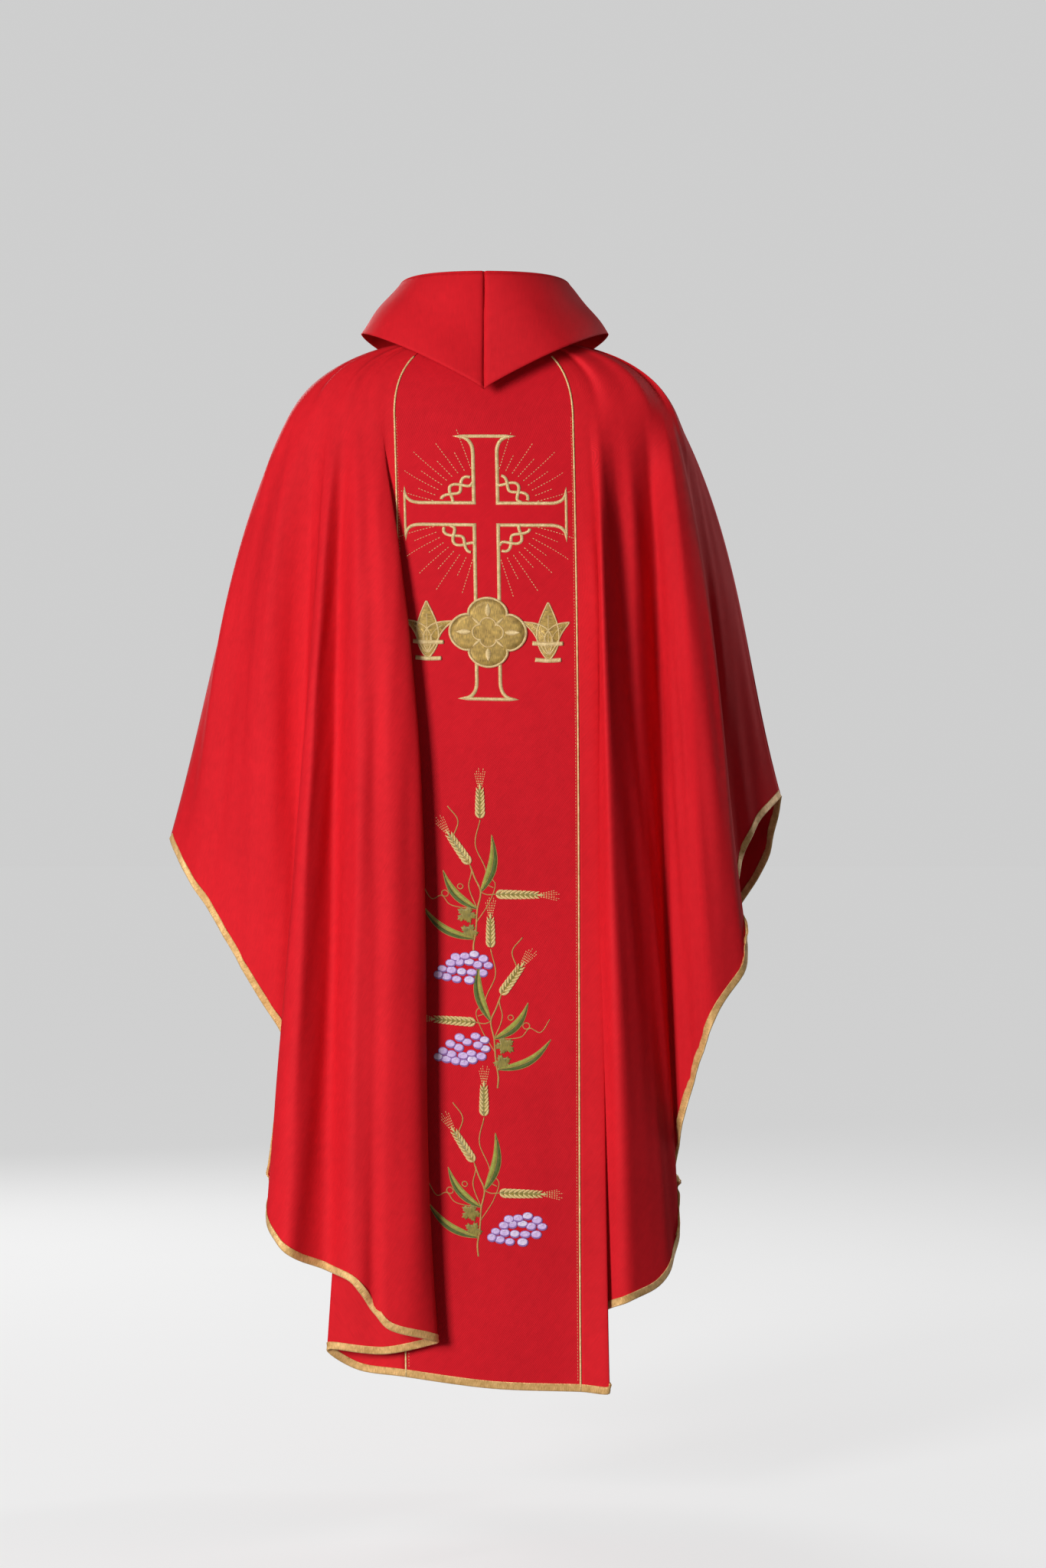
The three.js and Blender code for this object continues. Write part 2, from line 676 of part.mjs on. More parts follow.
// One spray of vine, drawn from the foot of its stem; hand is 1 or -1 for its mirror image
const SPRAY = {
  stem: [[0, 0], [2, 20], [4, 48], [8, 70], [1, 88], [-4, 102]],
  branches: [
    [[8, 70], [15, 95], [2, 130], [8, 162]],
    [[8, 70], [16, 67], [25, 68]],
    [[4, 48], [-28, 52], [-38, 63], [-50, 58], [-62, 75]],
  ],
  leaves: [
    [[8, 70], [22, 143], 12, -6],
    [[4, 48], [-36, 95], 11, 7],
    [[1, 10], [-63, 49], 10, 8],
    [[2, 20], [-18, 38], 15, 0],
  ],
  ears: [
    [[8, 164], [8, 208], 11],
    [[-5, 105], [-32, 147], 12],
    [[27, 68], [83, 68], 12],
  ],
};
function addSpray(label, hand, x0, y0, bunch) {
  const turned = (points) => points.map(([x, y]) => [x * hand, y]);
  const vine = [stroke(turned(SPRAY.stem), 2.4, 10)];
  for (const line of SPRAY.branches) vine.push(stroke(turned(line), 1.8, 7));
  for (const [from, to, width, bend] of SPRAY.leaves) {
    vine.push(leaf(...turned([from, to]), width, bend * hand));
  }
  add(`${label}_vine`, layOn(BACK, joined(vine), x0, y0), LEAF_THREAD);
  SPRAY.ears.forEach(([from, to, width], i) => {
    const shape = ear(...turned([from, to]), width);
    add(`${label}_wheat_ear_${i + 1}`, layOn(BACK, shape, x0, y0), WHEAT_THREAD);
  });
  const [x, y] = bunch;
  const cluster = layOn(BACK, grapes(), x0 + x, y0 + y);
  add(`${label}_grapes`, cluster, GRAPE_THREAD);
}

// Back embroidery, from the cross down
const CROSS_Y = -195;
add('back_cross_outline', layOn(BACK, crossGeometry(), 0, CROSS_Y), GOLD_THREAD);
['upper_left', 'upper_right', 'lower_right', 'lower_left'].forEach((word, i) => {
  const quarter = crownQuarter([Math.PI / 2, 0, -Math.PI / 2, Math.PI][i]);
  add(`back_crown_${word}`, layOn(BACK, quarter, 0, CROSS_Y + CROSS.barY), GOLD_THREAD);
});

[-70, 0, 70].forEach((x, i) => {
  const word = ['left', 'middle', 'right'][i];
  const motif = i === 1 ? flat(quatrefoil(44)) : joined(palmette(72));
  const layer = i === 1 ? 1 : 0;
  add(`back_ornament_${word}`, layOn(BACK, motif, x, CROSS_Y - 84, layer), GOLD_THREAD);
});
addSpray('back_upper_spray', 1, -20, -680, [-25, -13]);
addSpray('back_middle_spray', -1, 8, -844, [-46, 44]);
addSpray('back_lower_spray', 1, -17, -1058, [48, 34]);

// Front embroidery
add('front_cross_outline', layOn(FRONT, crossGeometry(), 0, -260), GOLD_THREAD);
add('front_ornament', layOn(FRONT, flat(quatrefoil(40)), 0, -530), GOLD_THREAD);

export default chasuble;
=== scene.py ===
"""Looks of a red gothic chasuble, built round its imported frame.

The cloth is one draped surface between fold lines, the same lines as the frame's panels,
sampled finely. Every panel, cord, braid and embroidery is laid on that surface.
"""
import math

import bpy
import numpy as np
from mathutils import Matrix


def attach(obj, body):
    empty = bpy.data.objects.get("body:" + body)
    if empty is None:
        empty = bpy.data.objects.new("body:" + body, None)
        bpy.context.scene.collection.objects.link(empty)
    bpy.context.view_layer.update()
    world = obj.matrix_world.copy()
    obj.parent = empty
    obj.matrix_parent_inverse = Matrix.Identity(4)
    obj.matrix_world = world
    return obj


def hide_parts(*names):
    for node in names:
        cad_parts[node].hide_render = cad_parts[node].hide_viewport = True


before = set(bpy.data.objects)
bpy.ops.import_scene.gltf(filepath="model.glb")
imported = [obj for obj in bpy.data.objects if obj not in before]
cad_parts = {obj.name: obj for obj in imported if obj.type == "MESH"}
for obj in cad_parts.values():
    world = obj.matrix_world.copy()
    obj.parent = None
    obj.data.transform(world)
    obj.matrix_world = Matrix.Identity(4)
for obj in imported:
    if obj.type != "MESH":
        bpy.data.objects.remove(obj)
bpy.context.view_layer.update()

bl_info = {
    "name": "Chasuble",
    "version": (1, 0, 0),
    "blender": (4, 5, 0),
    "location": "View3D > Sidebar > Chasuble",
    "description": "Builds the cloth, braid and embroidery of a gothic chasuble",
    "category": "Add Mesh",
}

MM = 0.001

# ---------------------------------------------------------------- the drape, in millimetres

YOKE_Z = -95.0
NECK_Z = 12.0
NECK_RX = 84.0
NECK_RY = 76.0
SHOULDER_Z = -4.0
YOKE_HALF_X = 275.0
YOKE_DEPTH = 119.0
ORPHREY_HALF = 112.0
SHOULDER_SHARE = 3 / 13
ROWS = 210
COLUMNS_PER_FOLD = 9
ORPHREY_COLUMNS = 30
SIDES = {"back": 1.0, "front": -1.0}


def fold(yoke_x, bow, chest, middle, hem, hem_x, hem_z):
    """A fold line: x at the yoke, sideways bow, depth at chest, middle and hem, hem x and z."""
    return {"yoke_x": yoke_x, "bow": bow, "depth": (chest, middle, hem), "hem": (hem_x, hem_z)}


SLEEVE_LEFT = fold(262, 10, 0, 0, 0, 414, -638)
SLEEVE_RIGHT = fold(-256, -17, 0, 0, 0, -389, -583)

# The back's left side, from the sleeve in to the piping: ridges and valleys of the loose
# folds, the broad ridge, the long sharp edge, the hidden pleat behind it and the margin.
BACK_LEFT = [
    fold(255, 24, 42, 46, 40, 393, -678),
    fold(245, 20, 66, 66, 70, 358, -729),
    fold(232, 28, 95, 108, 118, 289, -841),
    fold(217, 2, 98, 100, 130, 254, -902),
    fold(206, -6, 120, 143, 160, 273, -1085),
    fold(199, -1, 135, 174, 198, 272, -1125),
    fold(191, 4, 142, 192, 228, 246, -1157),
    fold(181, 1, 131, 160, 205, 200, -1179),
    fold(166, -5, 164, 207, 237, 164, -1193),
    fold(157, -13, 167, 206, 234, 138, -1229),
    fold(149, -19, 172, 212, 241, 119, -1249),
    fold(143, -25, 169, 201, 228, 69, -1264),
    fold(139, -27, 163, 189, 213, 58, -1270),
    fold(135, -20, 157, 180, 203, 65, -1274),
    fold(131, -16, 151, 172, 197, 127, -1287),
    fold(127, -13, 146, 160, 180, 198, -1284),
    fold(123, -6, 143, 151, 168, 164, -1309),
]
BACK_ORPHREY = [
    fold(115, -4, 147, 158, 187, 98, -1317),
    fold(0, -3, 149, 161, 192, -12, -1331),
    fold(-114, -3, 147, 160, 192, -123, -1335),
]

# The back's right side, from the piping out to the sleeve
BACK_RIGHT = [
    fold(-127, -9, 147, 158, 198, -160, -1336),
    fold(-133, -23, 144, 148, 160, -112, -1293),
    fold(-139, -6, 151, 161, 174, -150, -1238),
    fold(-147, 4, 160, 180, 190, -183, -1222),
    fold(-163, -4, 120, 134, 155, -227, -1202),
    fold(-188, 6, 117, 112, 110, -250, -1147),
    fold(-211, -2, 84, 82, 96, -246, -1062),
    fold(-222, -6, 100, 112, 112, -262, -975),
    fold(-232, -7, 108, 134, 146, -297, -862),
    fold(-241, -14, 88, 110, 121, -337, -795),
    fold(-246, -11, 68, 80, 88, -326, -697),
    fold(-251, -11, 44, 50, 46, -356, -618),
]
FRONT_ORPHREY = [
    fold(115, 0, 150, 162, 178, 107, -1290),
    fold(0, 0, 153, 166, 182, 0, -1296),
    fold(-115, 0, 150, 162, 178, -107, -1290),
]

# The front's plain folds, from the piping out
FRONT_SIDE = [
    fold(130, 0, 152, 168, 188, 142, -1286),
    fold(148, 0, 143, 146, 158, 166, -1272),
    fold(166, 0, 146, 182, 212, 182, -1256),
    fold(184, 0, 132, 136, 146, 198, -1222),
    fold(201, 4, 128, 162, 190, 222, -1160),
    fold(217, 4, 104, 108, 122, 242, -1035),
    fold(231, 8, 98, 126, 150, 254, -960),
    fold(242, 8, 72, 78, 86, 284, -845),
    fold(251, 8, 58, 72, 80, 330, -745),
    fold(257, 8, 32, 38, 34, 372, -668),
]


def mirrored(line):
    """The same fold line on the other side of the body."""
    hem_x, hem_z = line["hem"]
    return fold(-line["yoke_x"], -line["bow"], *line["depth"], -hem_x, hem_z)


FOLD_LINES = {
    "back": [SLEEVE_LEFT, *BACK_LEFT, *BACK_ORPHREY, *BACK_RIGHT, SLEEVE_RIGHT],
    "front": [
        SLEEVE_LEFT,
        *reversed(FRONT_SIDE),
        *FRONT_ORPHREY,
        *[mirrored(line) for line in FRONT_SIDE],
        SLEEVE_RIGHT,
    ],
}
ORPHREY_FROM = {"back": len(BACK_LEFT) + 1, "front": len(FRONT_SIDE) + 1}


def smooth_curve(knots, values, places):
    """Smooth interpolation of values at knots, read at places."""
    knots = np.asarray(knots, float)
    values = np.asarray(values, float)
    steps = np.diff(knots)
    rise = np.diff(values) / steps
    slope = np.empty_like(values)
    slope[1:-1] = (rise[:-1] * steps[1:] + rise[1:] * steps[:-1]) / (steps[1:] + steps[:-1])
    slope[0], slope[-1] = rise[0], rise[-1]
    i = np.clip(np.searchsorted(knots, places) - 1, 0, len(steps) - 1)
    h = steps[i]
    t = (places - knots[i]) / h
    return (
        values[i] * (2 * t**3 - 3 * t**2 + 1)
        + slope[i] * h * (t**3 - 2 * t**2 + t)
        + values[i + 1] * (3 * t**2 - 2 * t**3)
        + slope[i + 1] * h * (t**3 - t**2)
    )


def yoke_depth(line):
    """How far the cloth stands from the centre plane where folds leave the shoulders."""
    if line is SLEEVE_LEFT or line is SLEEVE_RIGHT:
        return 0.0
    across = abs(line["yoke_x"]) / YOKE_HALF_X
    return YOKE_DEPTH * math.sqrt(1 - across**3.2)


def fall_points(line, outwards, t):
    """Points of a fold line below the yoke, t from 0 at the yoke to 1 at the hem."""
    at_yoke = yoke_depth(line)
    hem_x, hem_z = line["hem"]
    depth = smooth_curve([-0.12, 0, 0.15, 0.5, 1], [0.85 * at_yoke, at_yoke, *line["depth"]], t)
    x = line["yoke_x"] + (hem_x - line["yoke_x"]) * t + line["bow"] * 6.75 * t * (1 - t) ** 2
    z = YOKE_Z + (hem_z - YOKE_Z) * t
    return np.stack([x, outwards * depth, z], -1)


def shoulder_points(line, outwards, t):
    """Points of a fold line over the shoulder, t from 0 at the neck to 1 at the yoke."""
    yoke, below = fall_points(line, outwards, np.array([0.0, 0.02]))
    angle = math.atan2(line["yoke_x"] / YOKE_HALF_X, yoke[1] / YOKE_DEPTH)
    neck = np.array([NECK_RX * math.sin(angle), NECK_RY * math.cos(angle), NECK_Z])
    reach = (SHOULDER_Z - YOKE_Z) / (yoke[2] - below[2])
    control = yoke + (yoke - below) * reach
    control[1] = np.clip(control[1], -YOKE_DEPTH, YOKE_DEPTH)
    t = t[:, None]
    return neck * (1 - t) ** 2 + control * 2 * t * (1 - t) + yoke * t**2


def lengths_along(points, axis=0):
    """Distance along a line or one axis of a grid of points, 0 at its first point."""
    steps = np.linalg.norm(np.diff(points, axis=axis), axis=-1)
    start = np.zeros_like(np.take(steps, [0], axis=axis))
    return np.concatenate([start, np.cumsum(steps, axis)], axis)


def row_spans(points, per_span):
    """Centripetal Catmull-Rom curves through each row of points (rows, lines, 3)."""
    before = 2 * points[:, :1] - points[:, 1:2]
    after = 2 * points[:, -1:] - points[:, -2:-1]
    padded = np.concatenate([before, points, after], 1)
    gaps = np.linalg.norm(np.diff(padded, axis=1), axis=2, keepdims=True) ** 0.5
    p0, p1, p2, p3 = (padded[:, k : padded.shape[1] - 3 + k] for k in range(4))
    d0, d1, d2 = (gaps[:, k : gaps.shape[1] - 2 + k] for k in range(3))
    m1 = ((p1 - p0) / d0 - (p2 - p0) / (d0 + d1) + (p2 - p1) / d1) * d1
    m2 = ((p2 - p1) / d1 - (p3 - p1) / (d1 + d2) + (p3 - p2) / d2) * d1
    columns = []
    for span in range(points.shape[1] - 1):
        for t in np.linspace(0, 1, per_span[span] + 1)[:-1]:
            a, b = m1[:, span], m2[:, span]
            q1, q2 = p1[:, span], p2[:, span]
            bend = (2 * q1 - 2 * q2 + a + b) * t**3
            columns.append(bend + (3 * q2 - 3 * q1 - 2 * a - b) * t**2 + a * t + q1)
    columns.append(points[:, -1])
    return np.stack(columns, 1)


class Cloth:
    """A finely sampled side of the garment: points, outward normals and cloth lengths."""

    def __init__(self, side, ripple):
        self.side = side
        self.outwards = SIDES[side]
        lines = FOLD_LINES[side]
        v = np.linspace(0, 1, ROWS + 1)
        over = v < SHOULDER_SHARE
        fall = (v[~over] - SHOULDER_SHARE) / (1 - SHOULDER_SHARE)
        fold_points = [
            np.concatenate(
                [
                    shoulder_points(line, self.outwards, v[over] / SHOULDER_SHARE),
                    fall_points(line, self.outwards, fall),
                ]
            )
            for line in lines
        ]
        self.start = ORPHREY_FROM[side]
        orphrey_spans = (self.start, self.start + 1)
        per_span = [
            ORPHREY_COLUMNS if i in orphrey_spans else COLUMNS_PER_FOLD
            for i in range(len(lines) - 1)
        ]
        self.points = row_spans(np.stack(fold_points, 1), per_span)
        self.line_column = np.concatenate([[0], np.cumsum(per_span)])
        self.v = v
        self._measure()
        self._ripple(ripple)
        self._measure()

    def _measure(self):
        """Outward normals, and how far each point lies along and across the cloth."""
        down = np.gradient(self.points, axis=0)
        across = np.gradient(self.points, axis=1)
        normal = np.cross(across, down) * -self.outwards
        self.normals = normal / np.linalg.norm(normal, axis=2, keepdims=True)
        self.along = lengths_along(self.points)
        self.across = lengths_along(self.points, axis=1)

    def _ripple(self, height):
        """Shallow waves that run down the loose cloth and fade out on orphrey and shoulder."""
        u = self.across / np.maximum(self.across[:, -1:], 1) * self.across[-1, -1]
        w = self.along
        swell = (
            np.sin(u / 11.0 + 1.7 * np.sin(w / 210.0) + 0.4)
            + 0.7 * np.sin(u / 19.0 - w / 160.0 + 2.1)
            + 0.5 * np.sin(u / 7.0 + w / 95.0 + 4.0)
        )
        grown = np.clip((self.v - 0.2) / 0.5, 0, 1)[:, None]
        left = self.line_column[self.start]
        right = self.line_column[self.start + 2]
        column = np.arange(self.points.shape[1])
        away = np.maximum(left - column, column - right)
        loose = 0.12 + 0.88 * np.clip(away / (2.0 * COLUMNS_PER_FOLD), 0, 1)
        self.points += self.normals * (swell * grown * loose[None, :] * height)[..., None]

    def orphrey_spot(self, x, y):
        """Grid place of the point x, y of the orphrey (viewer's right, up from the yoke)."""
        hem_z = FOLD_LINES[self.side][self.start + 1]["hem"][1]
        t = np.clip(y / (hem_z - YOKE_Z), 0, 1)
        row = (SHOULDER_SHARE + t * (1 - SHOULDER_SHARE)) * ROWS
        middle = self.line_column[self.start + 1]
        column = middle + self.outwards * x / ORPHREY_HALF * ORPHREY_COLUMNS
        return row, column

    def lay(self, flat, lift):
        """Flat points (x, y, height) laid on the orphrey, lifted off the cloth."""
        row, column = self.orphrey_spot(flat[:, 0], flat[:, 1])
        r = np.clip(row.astype(int), 0, ROWS - 1)
        c = np.clip(column.astype(int), 0, self.points.shape[1] - 2)
        a = (row - r)[:, None]
        b = (column - c)[:, None]

        def blend(grid):
            upper = grid[r, c] * (1 - b) + grid[r, c + 1] * b
            lower = grid[r + 1, c] * (1 - b) + grid[r + 1, c + 1] * b
            return upper * (1 - a) + lower * a

        return blend(self.points) + blend(self.normals) * (flat[:, 2:3] + lift)


CLOTHS = {}  # the draped surfaces made so far, by side
SHEETS = []  # each cloth piece and the rows of points that it was made from


def cloth_of(side):
    """The draped surface of one side, worked out once."""
    if side not in CLOTHS:
        CLOTHS[side] = Cloth(side, settings().ripple / MM)
    return CLOTHS[side]


# ---------------------------------------------------------------- meshes


def settings():
    """The add-on's own settings."""
    return bpy.context.scene.chasuble


def add_piece(name, points, faces, uvs, finish, nodes):
    """A piece of the garment from points in millimetres; uvs are cloth lengths in metres.
    Its name starts with sewn, which sets it apart from the frame's node of that name."""
    name = f"sewn_{name}"
    mesh = bpy.data.meshes.new(name)
    mesh.from_pydata((np.asarray(points) * MM).tolist(), [], faces)
    layer = mesh.uv_layers.new(name="Thread")
    corners = np.empty(len(mesh.loops), dtype=np.int32)
    mesh.loops.foreach_get("vertex_index", corners)
    layer.data.foreach_set("uv", np.asarray(uvs, dtype=np.float32)[corners].ravel())
    mesh.polygons.foreach_set("use_smooth", [True] * len(mesh.polygons))
    mesh.update()
    mesh.materials.append(finish_of(finish))
    piece = bpy.data.objects.new(name, mesh)
    bpy.context.collection.objects.link(piece)
    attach(piece, "root")
    if nodes:
        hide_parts(*nodes)
    return piece


def grid_faces(rows, columns, flipped=False):
    """Quads of a grid of rows by columns points."""
    index = np.arange(rows * columns).reshape(rows, columns)
    quads = np.stack([index[:-1, :-1], index[:-1, 1:], index[1:, 1:], index[1:, :-1]], -1)
    quads = quads.reshape(-1, 4)
    return (quads[:, ::-1] if flipped else quads).tolist()


def thicken(piece, thickness):
    """Gives a sheet its thickness, half on each side."""
    solid = piece.modifiers.new("thickness", "SOLIDIFY")
    solid.thickness = thickness
    solid.offset = 0
    solid.use_even_offset = False


def seat_in_seams(points, from_edge, to_edge):
    """Draws the first and last column of a panel in from the seam line."""
    for edge, amount in ((0, from_edge), (-1, to_edge)):
        inner = 1 if edge == 0 else -2
        step = points[:, inner] - points[:, edge]
        size = np.linalg.norm(step, axis=1, keepdims=True)
        points[:, edge] += step * np.minimum(0.7, amount / np.maximum(size, 1e-6))
    return points


def panel(side, name, first_line, last_line, finish):
    """One panel between two fold lines, from the neck to the hem."""
    cloth = cloth_of(side)
    a, b = cloth.line_column[first_line], cloth.line_column[last_line]
    points = seat_in_seams(cloth.points[:, a : b + 1].copy(), 0.5, 0.5)
    uv = np.stack([cloth.across[:, a : b + 1], -cloth.along[:, a : b + 1]], -1) * MM
    rows, columns = points.shape[:2]
    faces = grid_faces(rows, columns, flipped=cloth.outwards > 0)
    piece = add_piece(
        name, points.reshape(-1, 3), faces, uv.reshape(-1, 2), finish, [name]
    )
    thicken(piece, settings().cloth_thickness)
    SHEETS.append((piece, points))
    return piece


def sweep(centres, rights, ups, section):
    """A section swept along centres: points, faces and uvs, with capped ends."""
    count, ring = len(centres), len(section)
    points = (
        centres[:, None]
        + rights[:, None] * section[None, :, :1]
        + ups[:, None] * section[None, :, 1:]
    )
    faces = []
    for i in range(count - 1):
        for j in range(ring):
            k = (j + 1) % ring
            faces.append([i * ring + j, i * ring + k, (i + 1) * ring + k, (i + 1) * ring + j])
    faces.append(list(range(ring))[::-1])
    faces.append([(count - 1) * ring + j for j in range(ring)])
    around = lengths_along(np.concatenate([section, section[:1]]))[:-1]
    uv = np.stack(np.meshgrid(lengths_along(centres), around, indexing="ij"), -1) * MM
    return points.reshape(-1, 3), faces, uv.reshape(-1, 2)


class Stitching:
    """Collects flat embroidery in millimetres (x viewer's right, y up from the yoke)."""

    ACROSS = np.array([-0.5, -0.38, -0.15, 0.15, 0.38, 0.5])
    DOME = np.array([0.0, 0.62, 1.0, 1.0, 0.62, 0.0])
    SHARPEST = 0.42  # cosine of half the sharpest turn that is still mitred
    SUNK = 0.35  # how deep the underside lies in the cloth

    def __init__(self):
        self.points = []
        self.faces = []
        self.uvs = []
        self.count = 0

    def band(self, line, width, height=0.9, closed=False, layer=0.0):
        """A satin-stitched band along a line; width is one value or one for each point."""
        line = np.asarray(line, float)
        n = len(line)
        width = np.broadcast_to(np.asarray(width, float), (n,))
        after = np.roll(line, -1, 0) - line
        before = line - np.roll(line, 1, 0)
        if not closed:
            after[-1], before[0] = before[-1], after[0]
        after /= np.maximum(np.linalg.norm(after, axis=1, keepdims=True), 1e-9)
        before /= np.maximum(np.linalg.norm(before, axis=1, keepdims=True), 1e-9)
        tangent = after + before
        tangent /= np.maximum(np.linalg.norm(tangent, axis=1, keepdims=True), 1e-9)
        mitre = 1 / np.maximum((tangent * after).sum(1), self.SHARPEST)
        left = np.stack([-tangent[:, 1], tangent[:, 0]], -1) * mitre[:, None]
        across = np.concatenate([self.ACROSS, [0.5, -0.5]])
        dome = np.concatenate([self.DOME, [-self.SUNK, -self.SUNK]])
        plan = line[:, None] + left[:, None] * (across[None, :, None] * width[:, None, None])
        layer = np.broadcast_to(np.asarray(layer, float), (n,))[:, None]
        lift = layer + dome[None, :] * height * np.minimum(1, width / 1.2)[:, None]
        self._ring_faces(n, len(across), closed)
        length = np.broadcast_to(lengths_along(line)[:, None], lift.shape)
        uv = np.stack([length, across[None, :] * width[:, None]], -1)
        self.points.append(np.concatenate([plan, lift[..., None]], -1).reshape(-1, 3))
        self.uvs.append(uv.reshape(-1, 2) * MM)
        self.count += n * len(across)

    def _ring_faces(self, n, ring, closed):
        for i in range(n if closed else n - 1):
            j = (i + 1) % n
            for k in range(ring):
                m = (k + 1) % ring
                a, b = self.count + i * ring, self.count + j * ring
                self.faces.append([a + k, b + k, b + m, a + m])
        if not closed:
            last = self.count + (n - 1) * ring
            self.faces.append([self.count + k for k in range(ring)])
            self.faces.append([last + k for k in reversed(range(ring))])

    def patch(self, outline, height=0.7, layer=0.0, rings=6):
        """A filled patch inside a closed outline that its centre can see, softly domed."""
        outline = np.asarray(outline, float)
        n = len(outline)
        x, y = outline.T
        if np.sum(x * np.roll(y, -1) - y * np.roll(x, -1)) < 0:
            outline = outline[::-1]
        middle = outline.mean(0)
        shares = np.linspace(1, 0.12, rings)
        plan = [middle + (outline - middle) * share for share in shares]
        lift = [layer + height * min(1.0, 0.35 + 2.2 * (1 - share)) for share in shares]
        under = np.column_stack([outline, np.full(n, layer - self.SUNK)])
        rows = [under] + [np.column_stack([p, np.full(n, h)]) for p, h in zip(plan, lift)]
        base = self.count
        for i in range(len(rows) - 1):
            for k in range(n):
                m = (k + 1) % n
                a, b = base + i * n, base + (i + 1) * n
                self.faces.append([a + k, a + m, b + m, b + k])
        self.faces.append([base + k for k in reversed(range(n))])
        last = base + (len(rows) - 1) * n
        self.faces.append([last + k for k in range(n)])
        points = np.concatenate(rows)
        self.points.append(points)
        self.uvs.append(points[:, :2] * MM)
        self.count += len(points)

    def dashes(self, line, width, dash, gap, height=0.5):
        """A running stitch along a line: short raised stitches with gaps between."""
        line = np.asarray(line, float)
        length = lengths_along(line)
        start = 0.0
        while start + dash <= length[-1]:
            places = np.linspace(start, start + dash, 4)
            spots = np.stack([np.interp(places, length, line[:, k]) for k in (0, 1)], -1)
            self.band(spots, width * np.array([0.5, 1, 1, 0.5]), height)
            start += dash + gap

    def place(self, name, side, finish, slot, nodes=()):
        """Lays all that was stitched on one side's orphrey as one piece."""
        lift = settings().cloth_thickness / MM / 2
        points = cloth_of(side).lay(np.concatenate(self.points), lift)
        uvs = np.concatenate(self.uvs)
        return add_piece(name, points, self.faces, uvs, finish, nodes)


def curve_through(points, per_span=8):
    """A smooth flat line through given points."""
    points = np.asarray(points, float)
    flat = np.column_stack([points, np.zeros(len(points))])[None]
    return row_spans(flat, [per_span] * (len(points) - 1))[0][:, :2]


# ---------------------------------------------------------------- finishes


def feed(tree, socket, value):
    """Links an output to a socket, or sets the socket to a plain value."""
    if isinstance(value, bpy.types.NodeSocket):
        tree.links.new(value, socket)
    else:
        socket.default_value = value


def calc(tree, operation, *values):
    """A math node over sockets and numbers."""
    node = tree.nodes.new("ShaderNodeMath")
    node.operation = operation
    for socket, value in zip(node.inputs, values):
        feed(tree, socket, value)
    return node.outputs[0]


def wave(tree, place, pitch, shift=0.0):
    """A wave between 0 and 1 that repeats every pitch metres of place."""
    turns = calc(tree, "DIVIDE", place, pitch)
    angle = calc(tree, "MULTIPLY_ADD", turns, 2 * math.pi, shift)
    return calc(tree, "MULTIPLY_ADD", calc(tree, "SINE", angle), 0.5, 0.5)


def noise(tree, where, scale, detail=2.0):
    """Cloudy noise between 0 and 1."""
    node = tree.nodes.new("ShaderNodeTexNoise")
    feed(tree, node.inputs["Vector"], where)
    feed(tree, node.inputs["Scale"], scale)
    node.inputs["Detail"].default_value = detail
    return node.outputs["Fac"]


def mix_colours(tree, factor, a, b):
    """A colour between a and b. A mix node has its colours in inputs 6 and 7, output 2."""
    node = tree.nodes.new("ShaderNodeMix")
    node.data_type = "RGBA"
    feed(tree, node.inputs["Factor"], factor)
    feed(tree, node.inputs[6], a)
    feed(tree, node.inputs[7], b)
    return node.outputs[2]


def thread_lengths(tree):
    """The cloth's own coordinates in metres, and both of them apart."""
    uv = tree.nodes.new("ShaderNodeUVMap")
    uv.uv_map = "Thread"
    parts = tree.nodes.new("ShaderNodeSeparateXYZ")
    tree.links.new(uv.outputs[0], parts.inputs[0])
    return uv.outputs[0], parts.outputs[0], parts.outputs[1]


def stretched(tree, vector, x, y):
    """The cloth's coordinates scaled differently along and across."""
    node = tree.nodes.new("ShaderNodeVectorMath")
    node.operation = "MULTIPLY"
    tree.links.new(vector, node.inputs[0])
    node.inputs[1].default_value = (x, y, 1)
    return node.outputs[0]


def node_group(name, inputs, outputs, build):
    """A named shader node group, made once."""
    tree = bpy.data.node_groups.get(name)
    if tree:
        return tree
    tree = bpy.data.node_groups.new(name, "ShaderNodeTree")
    for label, kind, default in inputs:
        made = tree.interface.new_socket(name=label, in_out="INPUT", socket_type=kind)
        made.default_value = default
    for label, kind in outputs:
        tree.interface.new_socket(name=label, in_out="OUTPUT", socket_type=kind)
    given = tree.nodes.new("NodeGroupInput").outputs
    results = build(tree, given)
    ends = tree.nodes.new("NodeGroupOutput").inputs
    for (label, _), value in zip(outputs, results):
        feed(tree, ends[label], value)
    return tree


FLOAT = "NodeSocketFloat"
COLOUR = "NodeSocketColor"


def weave_group():
    """Warp and weft of a cloth: thread relief, and a thread shade that is partly random uneven
    threads and partly painted shade, darker in the grooves between raised threads.
    """

    def build(tree, given):
        vector, u, v = thread_lengths(tree)
        slanted = calc(tree, "MULTIPLY_ADD", v, given["Slant"], u)
        ridge = wave(tree, slanted, given["Warp Pitch"])
        pick = wave(tree, v, given["Weft Pitch"])
        slub = noise(tree, stretched(tree, vector, 900, 55), 1.0, 3.0)
        fluff = noise(tree, vector, 1400.0, 3.0)
        height = calc(tree, "MULTIPLY_ADD", pick, 0.3, calc(tree, "MULTIPLY", ridge, 0.7))
        height = calc(tree, "MULTIPLY_ADD", fluff, 0.5, height)
        # The shade follows the thread ridges as well as random slubs: painted shade in the grooves
        # between threads.
        shade = calc(tree, "MULTIPLY_ADD", slub, 0.6, calc(tree, "MULTIPLY", ridge, 0.4))
        return height, shade

    return node_group(
        "Woven threads",
        [("Warp Pitch", FLOAT, 0.0009), ("Weft Pitch", FLOAT, 0.0007), ("Slant", FLOAT, 1.0)],
        [("Height", FLOAT), ("Shade", FLOAT)],
        build,
    )


